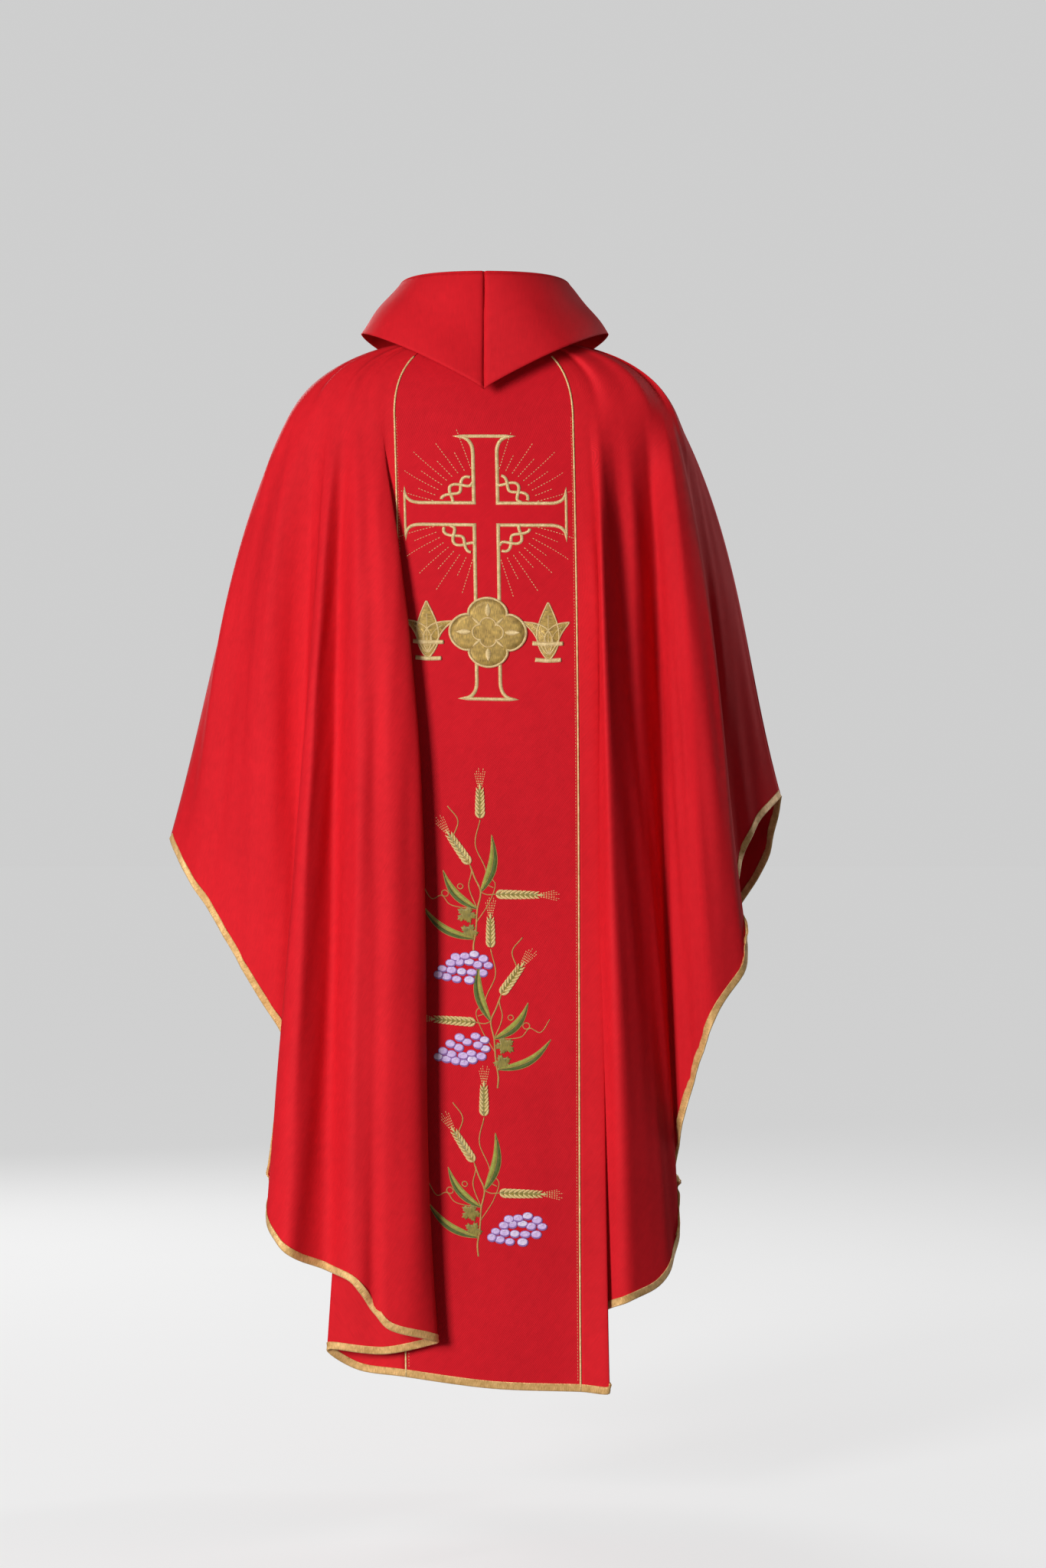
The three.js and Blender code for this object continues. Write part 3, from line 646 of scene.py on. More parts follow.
def tone_group():
    """Broad, faint variation of a dyed cloth's colour, with its thread shade on top, which is
    partly painted shade in the grooves between threads.
    """

    def build(tree, given):
        place = tree.nodes.new("ShaderNodeTexCoord").outputs["Object"]
        broad = noise(tree, place, 5.0, 4.0)
        fine = noise(tree, place, 90.0, 3.0)
        mottled = calc(tree, "MULTIPLY_ADD", fine, 0.35, calc(tree, "MULTIPLY", broad, 0.65))
        half_mottled = calc(tree, "MULTIPLY", mottled, 0.5)
        level = calc(tree, "MULTIPLY_ADD", given["Shade"], 0.5, half_mottled)
        off_middle = calc(tree, "SUBTRACT", level, 0.5)
        spread = calc(tree, "MULTIPLY_ADD", off_middle, given["Contrast"], 0.5)
        factor = calc(tree, "MINIMUM", calc(tree, "MAXIMUM", spread, 0.0), 1.0)
        colour = mix_colours(tree, factor, given["Deep Colour"], given["Light Colour"])
        return colour, factor

    return node_group(
        "Dyed tone",
        [
            ("Deep Colour", COLOUR, (0.4, 0.01, 0.02, 1)),
            ("Light Colour", COLOUR, (0.6, 0.02, 0.03, 1)),
            ("Shade", FLOAT, 0.5),
            ("Contrast", FLOAT, 1.4),
        ],
        [("Colour", COLOUR), ("Level", FLOAT)],
        build,
    )


def stitch_group():
    """Satin stitches side by side across a band: their relief, and a shade with streaks of painted
    highlight along the raised threads, over random patches of tone.
    """

    def build(tree, given):
        vector, u, v = thread_lengths(tree)
        slanted = calc(tree, "MULTIPLY_ADD", v, given["Slant"], u)
        ridge = wave(tree, slanted, given["Stitch Pitch"])
        streak = noise(tree, stretched(tree, vector, 1500, 160), 1.0, 2.0)
        patchy = noise(tree, vector, 120.0, 2.0)
        # The same streaks raise the stitches and lighten them: painted highlight, with random
        # patches of tone.
        shade = calc(tree, "MULTIPLY_ADD", streak, 0.7, calc(tree, "MULTIPLY", patchy, 0.5))
        shade = calc(tree, "MULTIPLY_ADD", calc(tree, "SUBTRACT", shade, 0.6), 2.6, 0.5)
        shade = calc(tree, "MINIMUM", calc(tree, "MAXIMUM", shade, 0.0), 1.0)
        return calc(tree, "MULTIPLY_ADD", streak, 0.6, ridge), shade

    return node_group(
        "Satin stitches",
        [("Stitch Pitch", FLOAT, 0.0006), ("Slant", FLOAT, 0.15)],
        [("Height", FLOAT), ("Shade", FLOAT)],
        build,
    )


def new_material(name):
    """A material with a bare Principled shader."""
    made = bpy.data.materials.new(name)
    made.use_nodes = True
    shader = made.node_tree.nodes["Principled BSDF"]
    return made, made.node_tree, shader


def use_group(tree, group, **values):
    """A shared group in a material; a socket's name has spaces for underscores."""
    node = tree.nodes.new("ShaderNodeGroup")
    node.node_tree = group
    for label, value in values.items():
        feed(tree, node.inputs[label.replace("_", " ")], value)
    return node.outputs


def relief(tree, shader, height, strength, depth):
    """Bumps the surface by a height between 0 and 1 that is depth metres deep."""
    bump = tree.nodes.new("ShaderNodeBump")
    bump.inputs["Strength"].default_value = strength
    bump.inputs["Distance"].default_value = depth
    feed(tree, bump.inputs["Height"], height)
    tree.links.new(bump.outputs[0], shader.inputs["Normal"])


def rough_from(tree, shader, level, low, high):
    """Roughness between two values as a level goes from 0 to 1."""
    feed(tree, shader.inputs["Roughness"], calc(tree, "MULTIPLY_ADD", level, high - low, low))


def shade_of(colour, factor):
    """A dye made darker or lighter."""
    return (*[c * factor for c in colour[:3]], 1.0)


# Woven cloths: the setting that holds the dye, thread pitches in metres, and how far the
# warp slants (1 for a twill, 0 for upright ribs)
TWILL = {"dye": "cloth", "warp": 0.0009, "weft": 0.0011, "slant": 1.0, "depth": 0.00022}
RIB = {"dye": "orphrey", "warp": 0.0024, "weft": 0.0009, "slant": 0.0, "depth": 0.0003}
WEAVES = {"red_cloth": TWILL, "collar_cloth": TWILL, "orphrey_cloth": RIB}
CLOTH_SHADES = (0.74, 1.18)  # darkest and lightest thread as shares of the dye
CLOTH_CONTRAST = 2.2
CLOTH_ROUGHNESS = (0.66, 0.56)
CLOTH_SPECULAR = 0.06
CLOTH_RELIEF = 0.6
SHEEN_TINT = (1.0, 0.1, 0.08, 1)
SHEEN_ROUGHNESS = 0.42

STITCH_DEPTH = 0.00025
STITCH_RELIEF = 0.8
STITCH_SHEEN = 0.15

# Threads: deep shade and the light shade of the painted highlight, how metallic, and where they
# differ from plain silk the pitch and slant of the stitches and the roughness of deep and light
# thread
THREADS = {
    "gold_braid": {
        "light": (1.0, 0.62, 0.25), "deep": (0.5, 0.26, 0.06), "metallic": 0.25,
        "pitch": 0.0013, "slant": 1.1, "rough": (0.5, 0.34),
    },
    "gold_cord": {
        "light": (1.0, 0.74, 0.36), "deep": (0.6, 0.38, 0.12), "metallic": 0.2,
        "pitch": 0.0017, "slant": 1.2, "rough": (0.48, 0.34),
    },
    "gold_thread": {
        "light": (1.0, 0.78, 0.42), "deep": (0.55, 0.36, 0.11), "metallic": 0.25,
        "pitch": 0.0008, "slant": 0.2,
    },
    "gold_brocade": {
        "light": (0.72, 0.47, 0.12), "deep": (0.17, 0.095, 0.018), "metallic": 0.3,
        "pitch": 0.0018, "slant": 1.0, "rough": (0.5, 0.36),
    },
    "leaf_thread": {"light": (0.15, 0.2, 0.03), "deep": (0.035, 0.075, 0.012)},
    "young_leaf_thread": {"light": (0.5, 0.5, 0.09), "deep": (0.22, 0.25, 0.03)},
    "vine_leaf_thread": {
        "light": (0.4, 0.3, 0.06), "deep": (0.12, 0.11, 0.016), "pitch": 0.0014, "slant": 0.6,
    },
    "stem_thread": {"light": (0.72, 0.44, 0.14), "deep": (0.4, 0.22, 0.05), "metallic": 0.1},
    "wheat_thread": {"light": (1.0, 0.84, 0.42), "deep": (0.66, 0.45, 0.13), "metallic": 0.08},
    "grape_thread": {
        "light": (0.8, 0.62, 0.92), "deep": (0.5, 0.32, 0.66), "pitch": 0.0009, "slant": 0.1,
    },
    "grape_shadow_thread": {"light": (0.42, 0.22, 0.56), "deep": (0.2, 0.09, 0.32)},
    "grape_light_thread": {"light": (0.95, 0.86, 1.0), "deep": (0.7, 0.55, 0.85)},
}


def cloth_finish(name, dye, warp, weft, slant, depth):
    """A woven cloth with a soft sheen."""
    made, tree, shader = new_material(name)
    colour = getattr(settings(), dye)
    deepest, lightest = CLOTH_SHADES
    threads = use_group(tree, weave_group(), Warp_Pitch=warp, Weft_Pitch=weft, Slant=slant)
    tone = use_group(
        tree,
        tone_group(),
        Deep_Colour=shade_of(colour, deepest),
        Light_Colour=shade_of(colour, lightest),
        Shade=threads["Shade"],
        Contrast=CLOTH_CONTRAST,
    )
    feed(tree, shader.inputs["Base Color"], tone["Colour"])
    rough_from(tree, shader, tone["Level"], *CLOTH_ROUGHNESS)
    relief(tree, shader, threads["Height"], CLOTH_RELIEF, depth)
    shader.inputs["Sheen Weight"].default_value = settings().sheen
    shader.inputs["Sheen Roughness"].default_value = SHEEN_ROUGHNESS
    shader.inputs["Sheen Tint"].default_value = SHEEN_TINT
    shader.inputs["Specular IOR Level"].default_value = CLOTH_SPECULAR
    return made


def thread_finish(
    name, light, deep, metallic=0.0, pitch=0.0006, slant=0.15, rough=(0.42, 0.28)
):
    """Silk or metal thread in satin stitch, with painted highlight: light where a thread catches
    the light.
    """
    made, tree, shader = new_material(name)
    stitches = use_group(tree, stitch_group(), Stitch_Pitch=pitch, Slant=slant)
    # Painted highlight: the thread turns from its deep to its light colour along the streaks.
    colour = mix_colours(tree, stitches["Shade"], (*deep, 1), (*light, 1))
    feed(tree, shader.inputs["Base Color"], colour)
    rough_from(tree, shader, stitches["Shade"], *rough)
    relief(tree, shader, stitches["Height"], STITCH_RELIEF, STITCH_DEPTH)
    shader.inputs["Metallic"].default_value = metallic
    shader.inputs["Sheen Weight"].default_value = STITCH_SHEEN
    return made


MADE = {}  # materials made so far, by name


def finish_of(name):
    """The material of that name, made when it is first asked for."""
    if name not in MADE:
        woven = name in WEAVES
        make = cloth_finish if woven else thread_finish
        MADE[name] = make(name, **(WEAVES if woven else THREADS)[name])
    return MADE[name]


# ---------------------------------------------------------------- cloth pieces


def edge_frames(points, below):
    """Along, off the edge and outward directions at an edge, given the row inside it."""
    along = np.gradient(points, axis=0)
    along /= np.linalg.norm(along, axis=1, keepdims=True)
    off = points - below
    off -= along * (off * along).sum(1, keepdims=True)
    off /= np.linalg.norm(off, axis=1, keepdims=True)
    return along, off, np.cross(along, off)


def smoothed(values, times):
    """Runs a three-point average over rows of vectors, keeping their length."""
    for _ in range(times):
        values[1:-1] = (values[:-2] + 2 * values[1:-1] + values[2:]) / 4
    return values / np.linalg.norm(values, axis=1, keepdims=True)


def hem_binding(side):
    """Braid folded over the hem."""
    cloth = cloth_of(side)
    edge = cloth.points[-1].copy()
    inside = cloth.points[-3]
    length = lengths_along(edge)
    places = np.linspace(0, length[-1], int(length[-1] / 2.5))
    edge = np.stack([np.interp(places, length, edge[:, k]) for k in range(3)], -1)
    inside = np.stack([np.interp(places, length, inside[:, k]) for k in range(3)], -1)
    along, off, up = edge_frames(edge, inside)
    off = smoothed(off, 2)
    up = smoothed(np.cross(along, off), 2)
    width = settings().binding_width / MM
    half = 0.5 * settings().cloth_thickness / MM
    section = np.array(
        [
            [-width, half + 0.1],
            [-width, half + 0.8],
            [-width + 1, half + 1.0],
            [-width / 2, half + 0.75],
            [-1.2, half + 1.0],
            [0.5, half + 0.7],
            [1.0, 0],
            [0.5, -half - 0.7],
            [-1.2, -half - 1.0],
            [-width / 2, -half - 0.75],
            [-width + 1, -half - 1.0],
            [-width, -half - 0.8],
            [-width, -half - 0.1],
            [0.1, 0],
        ]
    )
    points, faces, uv = sweep(edge, off, up, section)
    name = f"{side}_hem_binding"
    return add_piece(name, points, faces, uv, "gold_braid", [name])


def piping(side, word, line):
    """A cord let into the seam between panel and orphrey."""
    cloth = cloth_of(side)
    column = cloth.line_column[line]
    first = int(0.1 * ROWS)
    centres = cloth.points[first:, column] + cloth.normals[first:, column] * 0.9
    ups = cloth.normals[first:, column]
    down = np.gradient(centres, axis=0)
    rights = np.cross(down, ups)
    rights /= np.linalg.norm(rights, axis=1, keepdims=True)
    radius = settings().piping_diameter / MM / 2
    angles = np.linspace(0, 2 * np.pi, 13)[:-1]
    section = np.stack([np.cos(angles), np.sin(angles)], -1) * radius
    points, faces, uv = sweep(centres, rights, ups, section)
    name = f"{side}_piping_{word}"
    return add_piece(name, points, faces, uv, "gold_cord", [name])


SEAM_STITCH_INSET = 4.6


def seam_stitches(side, word, x):
    """A fine running stitch beside the piping, on the orphrey."""
    work = Stitching()
    hem = FOLD_LINES[side][ORPHREY_FROM[side] + 1]["hem"][1]
    work.dashes([(x, 0), (x, hem - YOKE_Z + 12)], 0.7, 2.4, 1.5, 0.35)
    name = f"{side}_seam_stitches_{word}"
    return work.place(name, side, "gold_cord", "gold_cord")


# Collar: its top edge, the fall's corners and points, and the stand's foot, in millimetres
COLLAR_TOP = {"x": 112, "y": 98, "back": 92, "front": 52}
COLLAR_TIP = {"back": (141, -62), "front": (150, -70)}
COLLAR_CORNER = (162, 22)
STAND_INSET = 8
COLLAR_COLUMNS = 96
COLLAR_ROWS = 30


def collar_top(angle, inset):
    share = ((1 - np.cos(angle)) / 2) ** 2.2
    return np.stack(
        [
            (COLLAR_TOP["x"] - inset) * np.sin(angle),
            (COLLAR_TOP["y"] - inset) * np.cos(angle),
            COLLAR_TOP["back"] + (COLLAR_TOP["front"] - COLLAR_TOP["back"]) * share,
        ],
        -1,
    )


def collar_fall(angle):
    behind = np.cos(angle) >= 0
    tip_y = np.where(behind, COLLAR_TIP["back"][0], -COLLAR_TIP["front"][0])
    tip_z = np.where(behind, COLLAR_TIP["back"][1], COLLAR_TIP["front"][1])
    size = np.abs(np.sin(angle))
    depth = np.sqrt(np.maximum(0, 1 - size**2.6))
    lift = size**0.9
    return np.stack(
        [
            COLLAR_CORNER[0] * np.sin(angle),
            tip_y * depth,
            tip_z + (COLLAR_CORNER[1] - tip_z) * lift,
        ],
        -1,
    )


def collar_foot(angle):
    return np.stack(
        [
            (NECK_RX - STAND_INSET) * np.sin(angle),
            (NECK_RY - STAND_INSET) * np.cos(angle),
            np.full_like(angle, NECK_Z - 4),
        ],
        -1,
    )


def collar_surface(angle, share, upper, lower, bulge):
    """Points between two edges, share 0 at the upper and 1 at the lower one."""
    outwards = np.stack([np.sin(angle), np.cos(angle), np.zeros_like(angle)], -1)
    t = share[..., None]
    return upper * (1 - t) + lower * t + outwards * bulge * 4 * t * (1 - t)


def sew_collar(name, points, hand):
    """A collar piece from its rows of points, mirrored for the left hand."""
    points[:, [0, -1], 0] = 0
    points[..., 0] *= hand
    uv = np.stack([lengths_along(points, axis=1), -lengths_along(points)], -1) * MM
    faces = grid_faces(*points.shape[:2], flipped=hand < 0)
    cloth = "collar_cloth"
    piece = add_piece(
        name, points.reshape(-1, 3), faces, uv.reshape(-1, 2), cloth, [name]
    )
    thicken(piece, settings().collar_thickness)
    SHEETS.append((piece, points))
    return piece


def collar_half(word, hand):
    """One half of the fall: rolled top edge, straight run down to the point, soft wrinkles."""
    angle = np.linspace(0, math.pi, COLLAR_COLUMNS + 1)
    share = np.linspace(0, 1, COLLAR_ROWS + 1)
    a, t = np.meshgrid(angle, share)
    points = collar_surface(a, t, collar_top(a, 0), collar_fall(a), 3)
    sag = np.sin(3 * a + 5 * t + hand) * np.sin(np.pi * t) * 1.6
    sag += 0.8 * np.sin(9 * a - 4 * t) * t
    outwards = np.stack([np.sin(a), np.cos(a), 0.35 * np.ones_like(a)], -1)
    points = points + outwards * sag[..., None]
    points[:, [0, -1]] -= outwards[:, [0, -1]] * 1.6

    # the roll over the top edge into the stand
    roll = []
    top = points[0]
    inward = -np.stack([np.sin(angle), np.cos(angle), np.zeros_like(angle)], -1)
    up = np.array([0.0, 0.0, 1.0])
    for turn in np.linspace(math.pi * 0.92, 0.35, 7):
        circle = inward * (1.75 + 1.75 * math.cos(turn)) + up * (1.9 * math.sin(turn))
        roll.append(top + circle)
    return sew_collar(f"collar_{word}", np.concatenate([np.stack(roll), points]), hand)


def collar_stand_half(word, hand):
    """One half of the stand inside the fall, down to the neckline."""
    angle = np.linspace(0, math.pi, COLLAR_COLUMNS + 1)
    share = np.linspace(0, 1, 13)
    a, t = np.meshgrid(angle, share)
    points = collar_surface(a, t, collar_top(a, 4.2), collar_foot(a), -2)
    return sew_collar(f"collar_stand_{word}", points, hand)


# ---------------------------------------------------------------- embroidery
# Drawn flat in millimetres from the middle of the orphrey at the yoke, x to the viewer's
# right and y up, then laid on the cloth.

CROSS = {"top": 169, "bottom": -169, "bar": 68, "reach": 96, "stem": 14.2, "flare": 31, "run": 24}
CROSS_Y = -195
FRONT_CROSS_Y = -260
FRONT_ORNAMENT_Y = -530
CROSS_BAND = 4.5
CROWN_R = 47
CROWN_STRAND = 3.7
CROWN_SWING = 6.2
RAYS_FROM = 61
RAYS_TO = (112, 90)
ORNAMENT_Y = CROSS_Y - 84
PALMETTE_X = 70
PALMETTE_HEIGHT = 76
ROSETTE_R = {"back": 44, "front": 40}
ROSETTE_LAYER = 1.2  # the back rosette lies over the foot of the cross


def turned(points, angle):
    c, s = math.cos(angle), math.sin(angle)
    points = np.asarray(points, float)
    return np.stack([points[:, 0] * c - points[:, 1] * s, points[:, 0] * s + points[:, 1] * c], -1)


def cross_line():
    """Centre line of the cross's satin outline, its arms flared to points."""
    stem, flare, run = CROSS["stem"], CROSS["flare"], CROSS["run"]
    arms = [
        (0.0, CROSS["reach"]),
        (math.pi / 2, CROSS["top"] - CROSS["bar"]),
        (math.pi, CROSS["reach"]),
        (-math.pi / 2, CROSS["bar"] - CROSS["bottom"]),
    ]
    line = []
    for angle, length in arms:
        t = np.linspace(0, 1, 12)
        curve_x = length - run + run * np.sin(t * math.pi / 2) ** 0.9
        curve_y = stem + (flare - stem) * (1 - np.cos(t * math.pi / 2)) ** 1.15
        straight = np.linspace(stem, length - run, 20)[:-1]
        upper = np.concatenate(
            [
                np.stack([straight, np.full_like(straight, stem)], -1),
                np.stack([curve_x, curve_y], -1),
            ]
        )
        end = np.stack([np.full(9, length), np.linspace(-flare, flare, 11)[1:-1]], -1)
        lower = upper * [1, -1]
        line.append(turned(np.concatenate([lower[1:], end, upper[::-1]]), angle))
    return np.concatenate(line) + [0, CROSS["bar"]]


def left_of(line):
    """Unit directions to the left of a flat line, one for each point."""
    tangent = np.gradient(line, axis=0)
    tangent /= np.linalg.norm(tangent, axis=1, keepdims=True)
    return np.stack([-tangent[:, 1], tangent[:, 0]], -1)


def lens(start, end, width, bend=0.0, steps=12, blunt=0.25):
    """Middle line and widths of a pointed, bent shape such as a leaf or a kernel."""
    share = np.linspace(0, 1, steps)
    axis = np.subtract(end, start)
    across = np.array([-axis[1], axis[0]]) / np.hypot(*axis)
    line = np.asarray(start) + axis * share[:, None]
    line = line + across * (bend * np.sin(np.pi * share))[:, None]
    return line, width * (np.sin(np.pi * share**0.8) + blunt * 0.2) + 0.05


def build_cross(side, y):
    """The raised satin outline of one cross."""
    work = Stitching()
    work.band(cross_line() + [0, y], CROSS_BAND, 1.3, closed=True)
    name = f"{side}_cross_outline"
    work.place(name, side, "gold_thread", "gold_thread", [name])


def build_crown():
    """Two strands twisted round each other in each quarter between the arms."""
    centre = np.array([0, CROSS_Y + CROSS["bar"]])
    words = {"upper_right": 0, "upper_left": 1, "lower_left": 2, "lower_right": 3}
    for word, quarter in words.items():
        work = Stitching()
        start = math.asin((CROSS["stem"] + 2.4) / CROWN_R)
        share = np.linspace(0, 1, 60)
        angle = quarter * math.pi / 2 + start + (math.pi / 2 - 2 * start) * share
        for phase in (0.0, math.pi):
            twist = 0.6 + share * 2.4 * math.pi + phase
            radius = CROWN_R + CROWN_SWING * np.sin(twist)
            line = np.stack([np.cos(angle), np.sin(angle)], -1) * radius[:, None] + centre
            work.band(line, CROWN_STRAND, 1.1, layer=0.35 + 0.35 * np.cos(twist))
        name = f"back_crown_{word}"
        work.place(name, "back", "gold_thread", "gold_thread", [name])


def build_rays():
    """Fine dotted rays, long and short in turn, in each quarter."""
    work = Stitching()
    centre = np.array([0, CROSS_Y + CROSS["bar"]])
    for quarter in range(4):
        for i, degrees in enumerate(np.linspace(16, 74, 9)):
            angle = quarter * math.pi / 2 + math.radians(degrees)
            aim = np.array([math.cos(angle), math.sin(angle)])
            reach = RAYS_TO[i % 2] + 4 * math.sin(5.1 * i + quarter)
            ray = [centre + aim * RAYS_FROM, centre + aim * reach]
            work.dashes(ray, 0.95, 2.3, 1.6, 0.45)
    work.place("back_rays", "back", "gold_thread", "gold_thread")


def quatrefoil(radius, x, y):
    """Outline with four round lobes."""
    angle = np.linspace(0, 2 * np.pi, 97)[:-1]
    r = radius * (0.72 + 0.28 * np.abs(np.cos(2 * angle)) ** 0.7)
    return np.stack([x + r * np.cos(angle), y + r * np.sin(angle)], -1)


def build_rosette(name, side, x, y, layer):
    """A four-lobed rosette: brocade ground, satin rim, inner ring and two rings of petals."""
    radius = ROSETTE_R[side]
    ground = Stitching()
    ground.patch(quatrefoil(radius - 1, x, y), 0.6, layer)
    ground.place(name, side, "gold_brocade", "gold_thread", [name])
    rim = Stitching()
    rim.band(quatrefoil(radius, x, y), 3.0, 1.0, closed=True, layer=layer + 0.5)
    rim.band(quatrefoil(radius * 0.42, x, y), 2.0, 0.8, closed=True, layer=layer + 0.6)
    for k in range(4):
        aim = np.array([math.cos(k * math.pi / 2), math.sin(k * math.pi / 2)])
        spot = np.array([x, y])
        line, width = lens(spot + aim * radius * 0.46, spot + aim * radius * 0.84, 7)
        rim.band(line, width, 1.0, layer=layer + 0.6)
        slanted = turned([aim], math.pi / 4)[0]
        line, width = lens(spot + slanted * radius * 0.3, spot + slanted * radius * 0.6, 3.5)
        rim.band(line, width, 0.8, layer=layer + 0.6)
    rim.place(f"{name}_rim", side, "gold_thread", "gold_thread")


def build_palmette(name, x, y, height):
    """Three leaves tied by two bands, brocade with a satin edge."""
    w = height / 2
    leaves = [
        ((0, -w * 0.9), (0, w), height * 0.34, 0),
        ((-1, -w * 0.7), (-w * 0.75, w * 0.35), height * 0.22, -height * 0.12),
        ((1, -w * 0.7), (w * 0.75, w * 0.35), height * 0.22, height * 0.12),
    ]
    ground = Stitching()
    edge = Stitching()
    for start, end, width, bend in leaves:
        line, widths = lens(np.add(start, (x, y)), np.add(end, (x, y)), width, bend, 24)
        ground.band(line, widths, 0.6, layer=0.1)
        left = left_of(line) * widths[:, None] / 2
        edge.band(np.concatenate([line + left, (line - left)[::-1]]), 2.1, 0.9, True, 0.45)
        edge.band(line[3:-5], 1.2, 0.7, layer=0.6)
    for level, half in ((-0.35, 0.5), (-0.9, 0.42)):
        tie = [(x - w * half, y + w * level), (x, y + w * level - 1), (x + w * half, y + w * level)]
        edge.band(curve_through(tie), 5.5, 1.2, layer=0.7)
    ground.place(name, "back", "gold_brocade", "gold_thread", [name])
    edge.place(f"{name}_rim", "back", "gold_thread", "gold_thread")


# One spray of vine from the foot of its stem: lines, leaves (start, end, width, bend), ears
STEM = [(0, -14), (-1, 0), (2, 20), (4, 48), (8, 70), (1, 88), (-4, 102)]
BRANCHES = [
    [(8, 70), (15, 95), (2, 130), (8, 162)],
    [(8, 70), (16, 67), (27, 68)],
    [(4, 48), (-6, 76), (-3, 100), (-24, 132), (-18, 160), (-30, 178)],
]
TENDRILS = [
    [(4, 48), (-28, 52), (-38, 63), (-50, 58), (-62, 75)],
    [(2, 30), (20, 60), (26, 82), (19, 88), (17, 80), (24, 76)],
]
LOOPS = [(-34, 66, 4.0), (-16, 76, 3.2)]
LEAVES = [
    ((8, 70), (22, 143), 11, -8),
    ((4, 48), (-36, 95), 10, 8),
    ((1, 10), (-63, 49), 9.5, 10),
]
VINE_LEAVES = [((-9, 40), 13), ((-6, 18), 12)]
EARS = [((8, 164), (8, 208), 13), ((-5, 105), (-32, 147), 13), ((27, 68), (83, 68), 13)]
BUNCH_BELOW = [
    (-22, -15), (-11, -13), (0, -10), (11, -15), (17, -23), (-28, -23), (-18, -21), (-6, -20),
    (4, -23), (10, -33), (-38, -31), (-27, -32), (-15, -33), (-3, -33), (-43, -39), (-33, -41),
    (-21, -43), (-6, -43),
]
BUNCH_BESIDE = [
    (-46, 47), (-27, 50), (-16, 46), (-57, 38), (-37, 42), (-24, 39), (-47, 34), (-15, 35),
    (-66, 28), (-56, 25), (-32, 28), (-20, 25), (-72, 20), (-62, 18), (-51, 17), (-42, 24),
    (-41, 15), (-31, 20),
]
SPRAYS = {
    "upper": {"hand": 1, "foot": (-20, -680), "bunch": BUNCH_BELOW, "shift": (0, 0)},
    "middle": {"hand": -1, "foot": (8, -844), "bunch": BUNCH_BESIDE, "shift": (0, 0)},
    "lower": {"hand": 1, "foot": (-17, -1058), "bunch": BUNCH_BELOW, "shift": (60, 50)},
}


def add_leaf(dark, young, line_work, start, end, width, bend):
    """A leaf in two shades of satin, with a midrib and a fine edge."""
    line, widths = lens(start, end, width, bend, 20)
    quarter = left_of(line) * widths[:, None] / 4
    side = 1 if bend > 0 else -1
    dark.band(line + quarter * side, widths / 2, 0.9, layer=0.1)
    young.band(line - quarter * side, widths / 2, 0.9, layer=0.1)
    line_work.band(line[1:-2], 0.7, 0.5, layer=0.7)
    rim = np.concatenate([line + 2 * quarter, (line - 2 * quarter)[::-1]])
    line_work.band(rim, 0.8, 0.7, closed=True, layer=0.1)


def add_vine_leaf(work, centre, size, hand):
    """A ragged five-lobed leaf."""
    angle = np.linspace(0, 2 * np.pi, 61)[:-1]
    lobes = 0.5 + 0.4 * np.abs(np.cos(2.5 * (angle - 1.2))) ** 0.8 + 0.1 * np.cos(17 * angle)
    r = size * lobes * (1 - 0.25 * np.exp(-((angle - 4.7) ** 2) / 0.1))
    outline = np.stack([centre[0] + hand * r * np.cos(angle), centre[1] + r * np.sin(angle)], -1)
    work.patch(outline, 0.7, 0.3)


def build_ear(name, start, end, width):
    """An ear of wheat: kernels in a herringbone, a fan of dotted awns beyond the tip."""
    start = np.array(start, float)
    end = np.array(end, float)
    axis = (end - start) / np.linalg.norm(end - start)
    across = np.array([-axis[1], axis[0]])
    length = np.linalg.norm(end - start)
    # A dark olive band under the kernels: painted shade that shows in the gaps between them.
    shade = Stitching()
    shade.band(*lens(start, end, width * 0.62, 0, 12), 0.35)
    shade.place(f"{name}_shade", "back", "vine_leaf_thread", "wheat_thread")
    kernels = Stitching()
    pairs = round(length / 6.3)
    for i in range(pairs):
        foot = start + axis * (length - 6) * i / pairs
        size = 1 - 0.35 * (i / pairs) ** 2
        for sign in (1, -1):
            tip = foot + axis * 9.0 * size + across * sign * width * 0.45 * size
            line, widths = lens(foot + across * sign * 0.5, tip, 3.1 * size, sign * 0.8, 9, 0.8)
            kernels.band(line, widths, 1.3, layer=0.35)
    line, widths = lens(end - axis * 8, end, 3.2, 0, 9)
    kernels.band(line, widths, 1.3, layer=0.4)
    kernels.place(name, "back", "wheat_thread", "wheat_thread", [name])
    awns = Stitching()
    for k, spread in enumerate(np.linspace(-0.2, 0.2, 6)):
        aim = axis * math.cos(spread) + across * math.sin(spread)
        first = end - axis * 4 + across * spread * 12
        awns.dashes([first, first + aim * (22 + 3 * math.sin(2.3 * k))], 0.8, 2.0, 1.1, 0.5)
    awns.place(f"{name}_awns", "back", "wheat_thread", "wheat_thread")


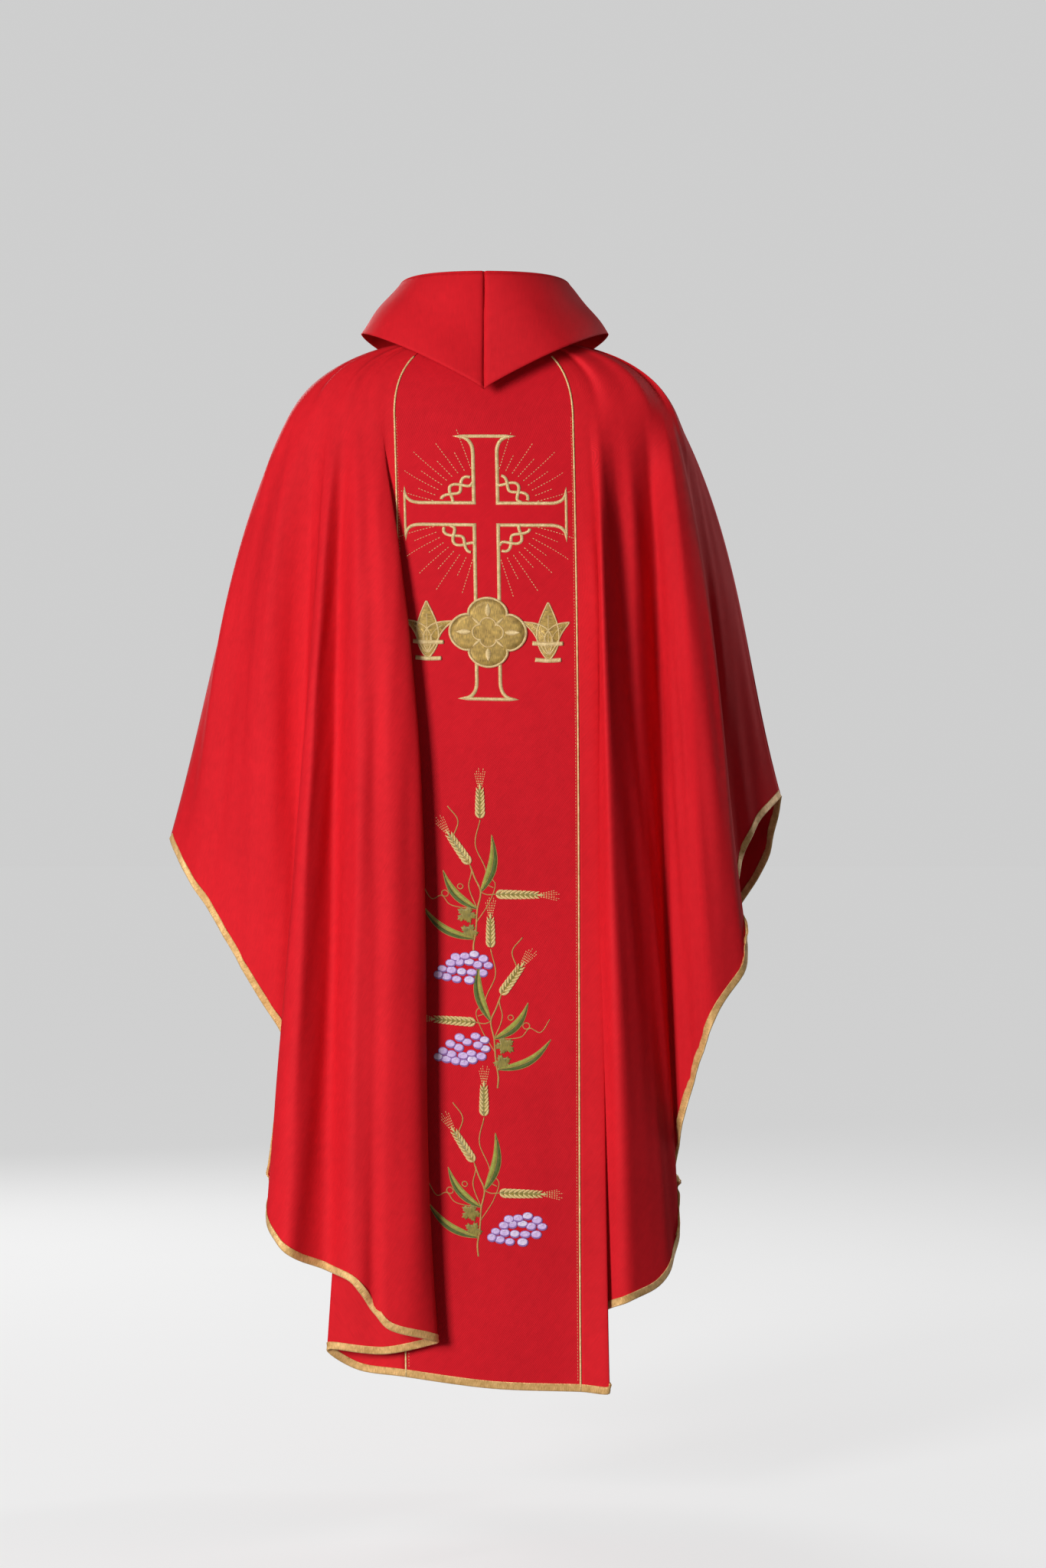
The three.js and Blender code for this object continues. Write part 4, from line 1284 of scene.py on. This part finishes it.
def build_grapes(label, x0, y0, bunch):
    """Overlapping grapes, each with a dark crescent and some with a light spot."""
    skins, shadows, lights = Stitching(), Stitching(), Stitching()
    angle = np.linspace(0, 2 * np.pi, 21)[:-1]
    for i, (x, y) in enumerate(bunch):
        layer = 0.15 * (i % 3)
        rx = 6.2 + 0.5 * math.sin(3.1 * i)
        ry = 5.1 + 0.4 * math.cos(2.2 * i)
        centre = np.array([x0 + x, y0 + y])
        oval = np.stack([rx * np.cos(angle), ry * np.sin(angle)], -1)
        (lights if i % 5 == 2 else skins).patch(centre + oval, 0.9, layer, 5)
        shadows.band(centre + oval * 0.96, 0.9, 0.5, closed=True, layer=layer + 0.25)
        arc = np.linspace(-2.6, 0.4, 12)
        rim = np.stack([(rx - 1.1) * np.cos(arc), (ry - 1.1) * np.sin(arc)], -1)
        thick = 2.4 * np.sin(np.linspace(0.15, 3.0, 12)) + 0.2
        shadows.band(centre + rim, thick, 0.5, layer=layer + 0.55)
        glow = np.stack([0.5 * rx * np.cos(arc + 3.4), 0.5 * ry * np.sin(arc + 3.4)], -1)
        lights.band(centre + glow[2:8], 1.4, 0.4, layer=layer + 0.9)
    name = f"{label}_grapes"
    skins.place(name, "back", "grape_thread", "grape_thread", [name])
    shadows.place(f"{name}_shadow", "back", "grape_shadow_thread", "grape_thread")
    lights.place(f"{name}_light", "back", "grape_light_thread", "grape_thread")


def build_spray(word):
    """One spray: stems, leaves, three ears of wheat and a bunch of grapes."""
    spray = SPRAYS[word]
    hand = spray["hand"]
    x0, y0 = spray["foot"]

    def at(points):
        return np.array([(x0 + x * hand, y0 + y) for x, y in points], float)

    label = f"back_{word}_spray"
    stems, dark, young, palmate = Stitching(), Stitching(), Stitching(), Stitching()
    stems.band(curve_through(at(STEM)), 2.2, 0.9)
    for line in BRANCHES:
        stems.band(curve_through(at(line)), 1.5, 0.8)
    for line in TENDRILS:
        stems.band(curve_through(at(line)), 1.3, 0.7)
    for x, y, r in LOOPS:
        turn = np.linspace(0, 2 * np.pi, 19)[:-1]
        ring = [(x + r * math.cos(a), y + r * math.sin(a)) for a in turn]
        stems.band(at(ring), 1.3, 0.7, closed=True)
    for start, end, width, bend in LEAVES:
        start, end = at([start, end])
        add_leaf(dark, young, stems, start, end, width, bend * hand)
    for centre, size in VINE_LEAVES:
        add_vine_leaf(palmate, at([centre])[0], size, hand)
    stems.place(f"{label}_stems", "back", "stem_thread", "leaf_thread")
    dark.place(
        f"{label}_vine", "back", "leaf_thread", "leaf_thread", [f"{label}_vine"]
    )
    young.place(f"{label}_leaf_light", "back", "young_leaf_thread", "leaf_thread")
    palmate.place(f"{label}_vine_leaf", "back", "vine_leaf_thread", "leaf_thread")
    for i, (start, end, width) in enumerate(EARS):
        start, end = at([start, end])
        build_ear(f"{label}_wheat_ear_{i + 1}", start, end, width)
    shift = spray["shift"]
    build_grapes(label, x0 + shift[0], y0 + shift[1], spray["bunch"])


# ---------------------------------------------------------------- stage


def look_at(thing, target):
    """Turns a light so that it faces a point."""
    aim = np.subtract(target, thing.location)
    yaw = math.atan2(aim[1], aim[0]) - math.pi / 2
    pitch = math.atan2(aim[2], math.hypot(aim[0], aim[1])) + math.pi / 2
    thing.rotation_euler = (pitch, 0, yaw)


def area_light(name, place, target, size, power):
    """A white rectangular light that faces the target."""
    data = bpy.data.lights.new(name, "AREA")
    data.shape = "RECTANGLE"
    data.size, data.size_y = size
    data.energy = power
    light = bpy.data.objects.new(name, data)
    bpy.context.collection.objects.link(light)
    light.location = place
    look_at(light, target)


def seen_or_lit(tree, seen, lit):
    """A strength that is one value where it is seen and another where it only lights."""
    path = tree.nodes.new("ShaderNodeLightPath")
    gap = calc(tree, "MULTIPLY", path.outputs["Is Camera Ray"], seen - lit)
    return calc(tree, "ADD", gap, lit)


FLOOR_Z = -1.507
FLOOR_SIZE = 80.0
FLOOR_ALBEDO = 0.3
BACKDROP = 0.62  # how bright floor and surrounding look
AMBIENT = 0.1  # how strongly the surrounding lights the garment
GARMENT_MIDDLE = (0, 0, -0.62)
CAMERA_PLACE = (-0.050, 5.2, -0.567)
CAMERA_LENS = 90.9
LIGHTS = {
    "key": ((2.7, 4.3, 0.2), (1.3, 1.9)),
    "fill": ((-2.6, 3.4, 0.0), (1.6, 2.2)),
    "rim": ((-2.3, -1.9, 0.9), (0.5, 1.8)),
    "front": ((1.6, -3.6, 1.0), (1.6, 2.0)),
}


def build_stage():
    """Pale floor that runs into a pale surrounding, four soft lights and the camera."""
    n = 41
    side = np.linspace(-FLOOR_SIZE / 2, FLOOR_SIZE / 2, n)
    x, y = np.meshgrid(side, side)
    mesh = bpy.data.meshes.new("floor")
    points = np.stack([x, y, np.full_like(x, FLOOR_Z)], -1).reshape(-1, 3)
    mesh.from_pydata(points.tolist(), [], grid_faces(n, n))
    floor = bpy.data.objects.new("floor", mesh)
    bpy.context.collection.objects.link(floor)
    made, tree, shader = new_material("floor")
    place = tree.nodes.new("ShaderNodeTexCoord").outputs["Object"]
    grain = noise(tree, place, 3.0, 3.0)
    tint = mix_colours(
        tree, grain, (FLOOR_ALBEDO * 0.96,) * 3 + (1,), (FLOOR_ALBEDO,) * 3 + (1,)
    )
    feed(tree, shader.inputs["Base Color"], tint)
    shader.inputs["Roughness"].default_value = 0.9
    shader.inputs["Emission Color"].default_value = (1, 1, 1, 1)
    glow = seen_or_lit(tree, BACKDROP - FLOOR_ALBEDO * AMBIENT, 0.0)
    feed(tree, shader.inputs["Emission Strength"], glow)
    mesh.materials.append(made)

    world = bpy.data.worlds.new("surrounding")
    world.use_nodes = True
    bpy.context.scene.world = world
    tree = world.node_tree
    background = tree.nodes["Background"]
    background.inputs["Color"].default_value = (1, 1, 1, 1)
    feed(tree, background.inputs["Strength"], seen_or_lit(tree, BACKDROP, AMBIENT))

    for name, (place, size) in LIGHTS.items():
        area_light(name, place, GARMENT_MIDDLE, size, getattr(settings(), f"{name}_power"))

    data = bpy.data.cameras.new("camera")
    data.lens = CAMERA_LENS
    data.sensor_width = 36
    data.clip_end = 200
    camera = bpy.data.objects.new("camera", data)
    bpy.context.collection.objects.link(camera)
    camera.location = CAMERA_PLACE
    camera.rotation_euler = (math.pi / 2, 0, math.pi)
    bpy.context.scene.camera = camera
    bpy.context.scene.view_settings.view_transform = "Standard"


# ---------------------------------------------------------------- sheets and add-on


def flat_size(points):
    """Width and length of a sheet laid flat, and its area, in metres. The longest row runs
    slantwise where one edge is longer than the other, and the width is its level part."""
    run = np.linalg.norm(np.diff(points, axis=1), axis=2)
    drop = np.linalg.norm(np.diff(points, axis=0), axis=2)
    rise = drop[:, 0].sum() - drop[:, -1].sum()
    width = math.sqrt(run.sum(1).max() ** 2 - rise**2) * MM
    length = drop.sum(0).max() * MM
    a = points[1:, :-1] - points[:-1, :-1]
    b = points[:-1, 1:] - points[:-1, :-1]
    c = points[1:, :-1] - points[1:, 1:]
    d = points[:-1, 1:] - points[1:, 1:]
    area = np.linalg.norm(np.cross(a, b), axis=2).sum() / 2
    area += np.linalg.norm(np.cross(c, d), axis=2).sum() / 2
    return (float(width), float(length)), float(area) * MM * MM


def declare_sheets():
    """Works out each draped sheet's size along the cloth and its area; nothing is done with them."""
    for piece, points in SHEETS:
        flat, area = flat_size(points)


def cloth_parts(side):
    """Names, fold lines and finishes of one side's panels."""
    start = ORPHREY_FROM[side]
    last = len(FOLD_LINES[side]) - 1
    return [
        (f"{side}_panel_left", 0, start, "red_cloth"),
        (f"{side}_orphrey", start, start + 2, "orphrey_cloth"),
        (f"{side}_panel_right", start + 2, last, "red_cloth"),
    ]


class ChasubleSettings(bpy.types.PropertyGroup):
    """Sizes and colours of the garment."""

    cloth: bpy.props.FloatVectorProperty(
        name="Cloth colour", description="Dye of the panels and the collar",
        size=3, subtype="COLOR", min=0, max=1, default=(0.66, 0.013, 0.021),
    )
    orphrey: bpy.props.FloatVectorProperty(
        name="Orphrey colour", description="Dye of the embroidered bands",
        size=3, subtype="COLOR", min=0, max=1, default=(0.6, 0.01, 0.019),
    )
    sheen: bpy.props.FloatProperty(
        name="Sheen", description="How much light the cloth's fine fibres catch",
        subtype="FACTOR", min=0, max=1, default=0.015,
    )
    ripple: bpy.props.FloatProperty(
        name="Ripple", description="Height of the shallow waves in the loose cloth",
        unit="LENGTH", min=0, max=0.005, default=0.0009,
    )
    cloth_thickness: bpy.props.FloatProperty(
        name="Cloth thickness", description="Thickness of the lined cloth",
        unit="LENGTH", min=0.0003, max=0.003, default=0.0009,
    )
    collar_thickness: bpy.props.FloatProperty(
        name="Collar thickness", description="Thickness of the stiffened collar",
        unit="LENGTH", min=0.0005, max=0.005, default=0.0016,
    )
    binding_width: bpy.props.FloatProperty(
        name="Binding width", description="Width of the braid over the hem",
        unit="LENGTH", min=0.003, max=0.02, default=0.0088,
    )
    piping_diameter: bpy.props.FloatProperty(
        name="Piping diameter", description="Diameter of the cord in the seams",
        unit="LENGTH", min=0.001, max=0.006, default=0.0024,
    )
    key_power: bpy.props.FloatProperty(
        name="Key light", description="Power of the main light", unit="POWER", default=262.0,
    )
    fill_power: bpy.props.FloatProperty(
        name="Fill light", description="Power of the weak light", unit="POWER", default=4.0,
    )
    rim_power: bpy.props.FloatProperty(
        name="Rim light", description="Power of the light behind", unit="POWER", default=30.0,
    )
    front_power: bpy.props.FloatProperty(
        name="Front light", description="Power of the light on the front",
        unit="POWER", default=75.0,
    )


class CHASUBLE_OT_cloth(bpy.types.Operator):
    """Builds the panels and orphreys of both sides, draped in their folds"""

    bl_idname = "chasuble.cloth"
    bl_label = "Cloth"

    def execute(self, context):
        for side in SIDES:
            for name, first, last, finish in cloth_parts(side):
                panel(side, name, first, last, finish)
        return {"FINISHED"}


class CHASUBLE_OT_seams(bpy.types.Operator):
    """Lays the gold cords into the orphrey seams, with a running stitch beside them"""

    bl_idname = "chasuble.seams"
    bl_label = "Piping"

    def execute(self, context):
        for side, outwards in SIDES.items():
            start = ORPHREY_FROM[side]
            piping(side, "left", start)
            piping(side, "right", start + 2)
            stitched_x = outwards * (ORPHREY_HALF - SEAM_STITCH_INSET)
            seam_stitches(side, "left", -stitched_x)
            seam_stitches(side, "right", stitched_x)
        return {"FINISHED"}


class CHASUBLE_OT_binding(bpy.types.Operator):
    """Folds the gold braid over the hem of both sides"""

    bl_idname = "chasuble.binding"
    bl_label = "Hem binding"

    def execute(self, context):
        for side in SIDES:
            hem_binding(side)
        return {"FINISHED"}


class CHASUBLE_OT_collar(bpy.types.Operator):
    """Builds the collar's fall and stand, each in two halves"""

    bl_idname = "chasuble.collar"
    bl_label = "Collar"

    def execute(self, context):
        for word, hand in (("left", 1), ("right", -1)):
            collar_half(word, hand)
            collar_stand_half(word, hand)
        return {"FINISHED"}


class CHASUBLE_OT_cross(bpy.types.Operator):
    """Embroiders the crosses, the twisted crown and its rays"""

    bl_idname = "chasuble.cross"
    bl_label = "Cross and crown"

    def execute(self, context):
        build_cross("back", CROSS_Y)
        build_cross("front", FRONT_CROSS_Y)
        build_crown()
        build_rays()
        return {"FINISHED"}


class CHASUBLE_OT_ornaments(bpy.types.Operator):
    """Embroiders the rosettes and palmettes"""

    bl_idname = "chasuble.ornaments"
    bl_label = "Ornaments"

    def execute(self, context):
        build_palmette("back_ornament_left", -PALMETTE_X, ORNAMENT_Y, PALMETTE_HEIGHT)
        build_rosette("back_ornament_middle", "back", 0, ORNAMENT_Y, ROSETTE_LAYER)
        build_palmette("back_ornament_right", PALMETTE_X, ORNAMENT_Y, PALMETTE_HEIGHT)
        build_rosette("front_ornament", "front", 0, FRONT_ORNAMENT_Y, 0)
        return {"FINISHED"}


class CHASUBLE_OT_sprays(bpy.types.Operator):
    """Embroiders the three sprays of vine, wheat and grapes"""

    bl_idname = "chasuble.sprays"
    bl_label = "Vine sprays"

    def execute(self, context):
        for word in SPRAYS:
            build_spray(word)
        return {"FINISHED"}


class CHASUBLE_OT_stage(bpy.types.Operator):
    """Sets up the floor, the lights and the camera"""

    bl_idname = "chasuble.stage"
    bl_label = "Stage"

    def execute(self, context):
        build_stage()
        return {"FINISHED"}


OPERATORS = [
    CHASUBLE_OT_cloth,
    CHASUBLE_OT_seams,
    CHASUBLE_OT_binding,
    CHASUBLE_OT_collar,
    CHASUBLE_OT_cross,
    CHASUBLE_OT_ornaments,
    CHASUBLE_OT_sprays,
    CHASUBLE_OT_stage,
]


class CHASUBLE_PT_panel(bpy.types.Panel):
    """Lists the pieces of the garment and its settings"""

    bl_label = "Chasuble"
    bl_space_type = "VIEW_3D"
    bl_region_type = "UI"
    bl_category = "Chasuble"

    def draw(self, context):
        for kind in OPERATORS:
            self.layout.operator(kind.bl_idname)
        for name in ChasubleSettings.__annotations__:
            self.layout.prop(context.scene.chasuble, name)


CLASSES = [ChasubleSettings, *OPERATORS, CHASUBLE_PT_panel]


def register():
    for kind in CLASSES:
        bpy.utils.register_class(kind)
    bpy.types.Scene.chasuble = bpy.props.PointerProperty(type=ChasubleSettings)


def unregister():
    del bpy.types.Scene.chasuble
    for kind in reversed(CLASSES):
        bpy.utils.unregister_class(kind)


def main():
    register()
    for kind in OPERATORS:
        group, _, word = kind.bl_idname.partition(".")
        getattr(getattr(bpy.ops, group), word)()
    declare_sheets()


if __name__ == "__main__":
    main()
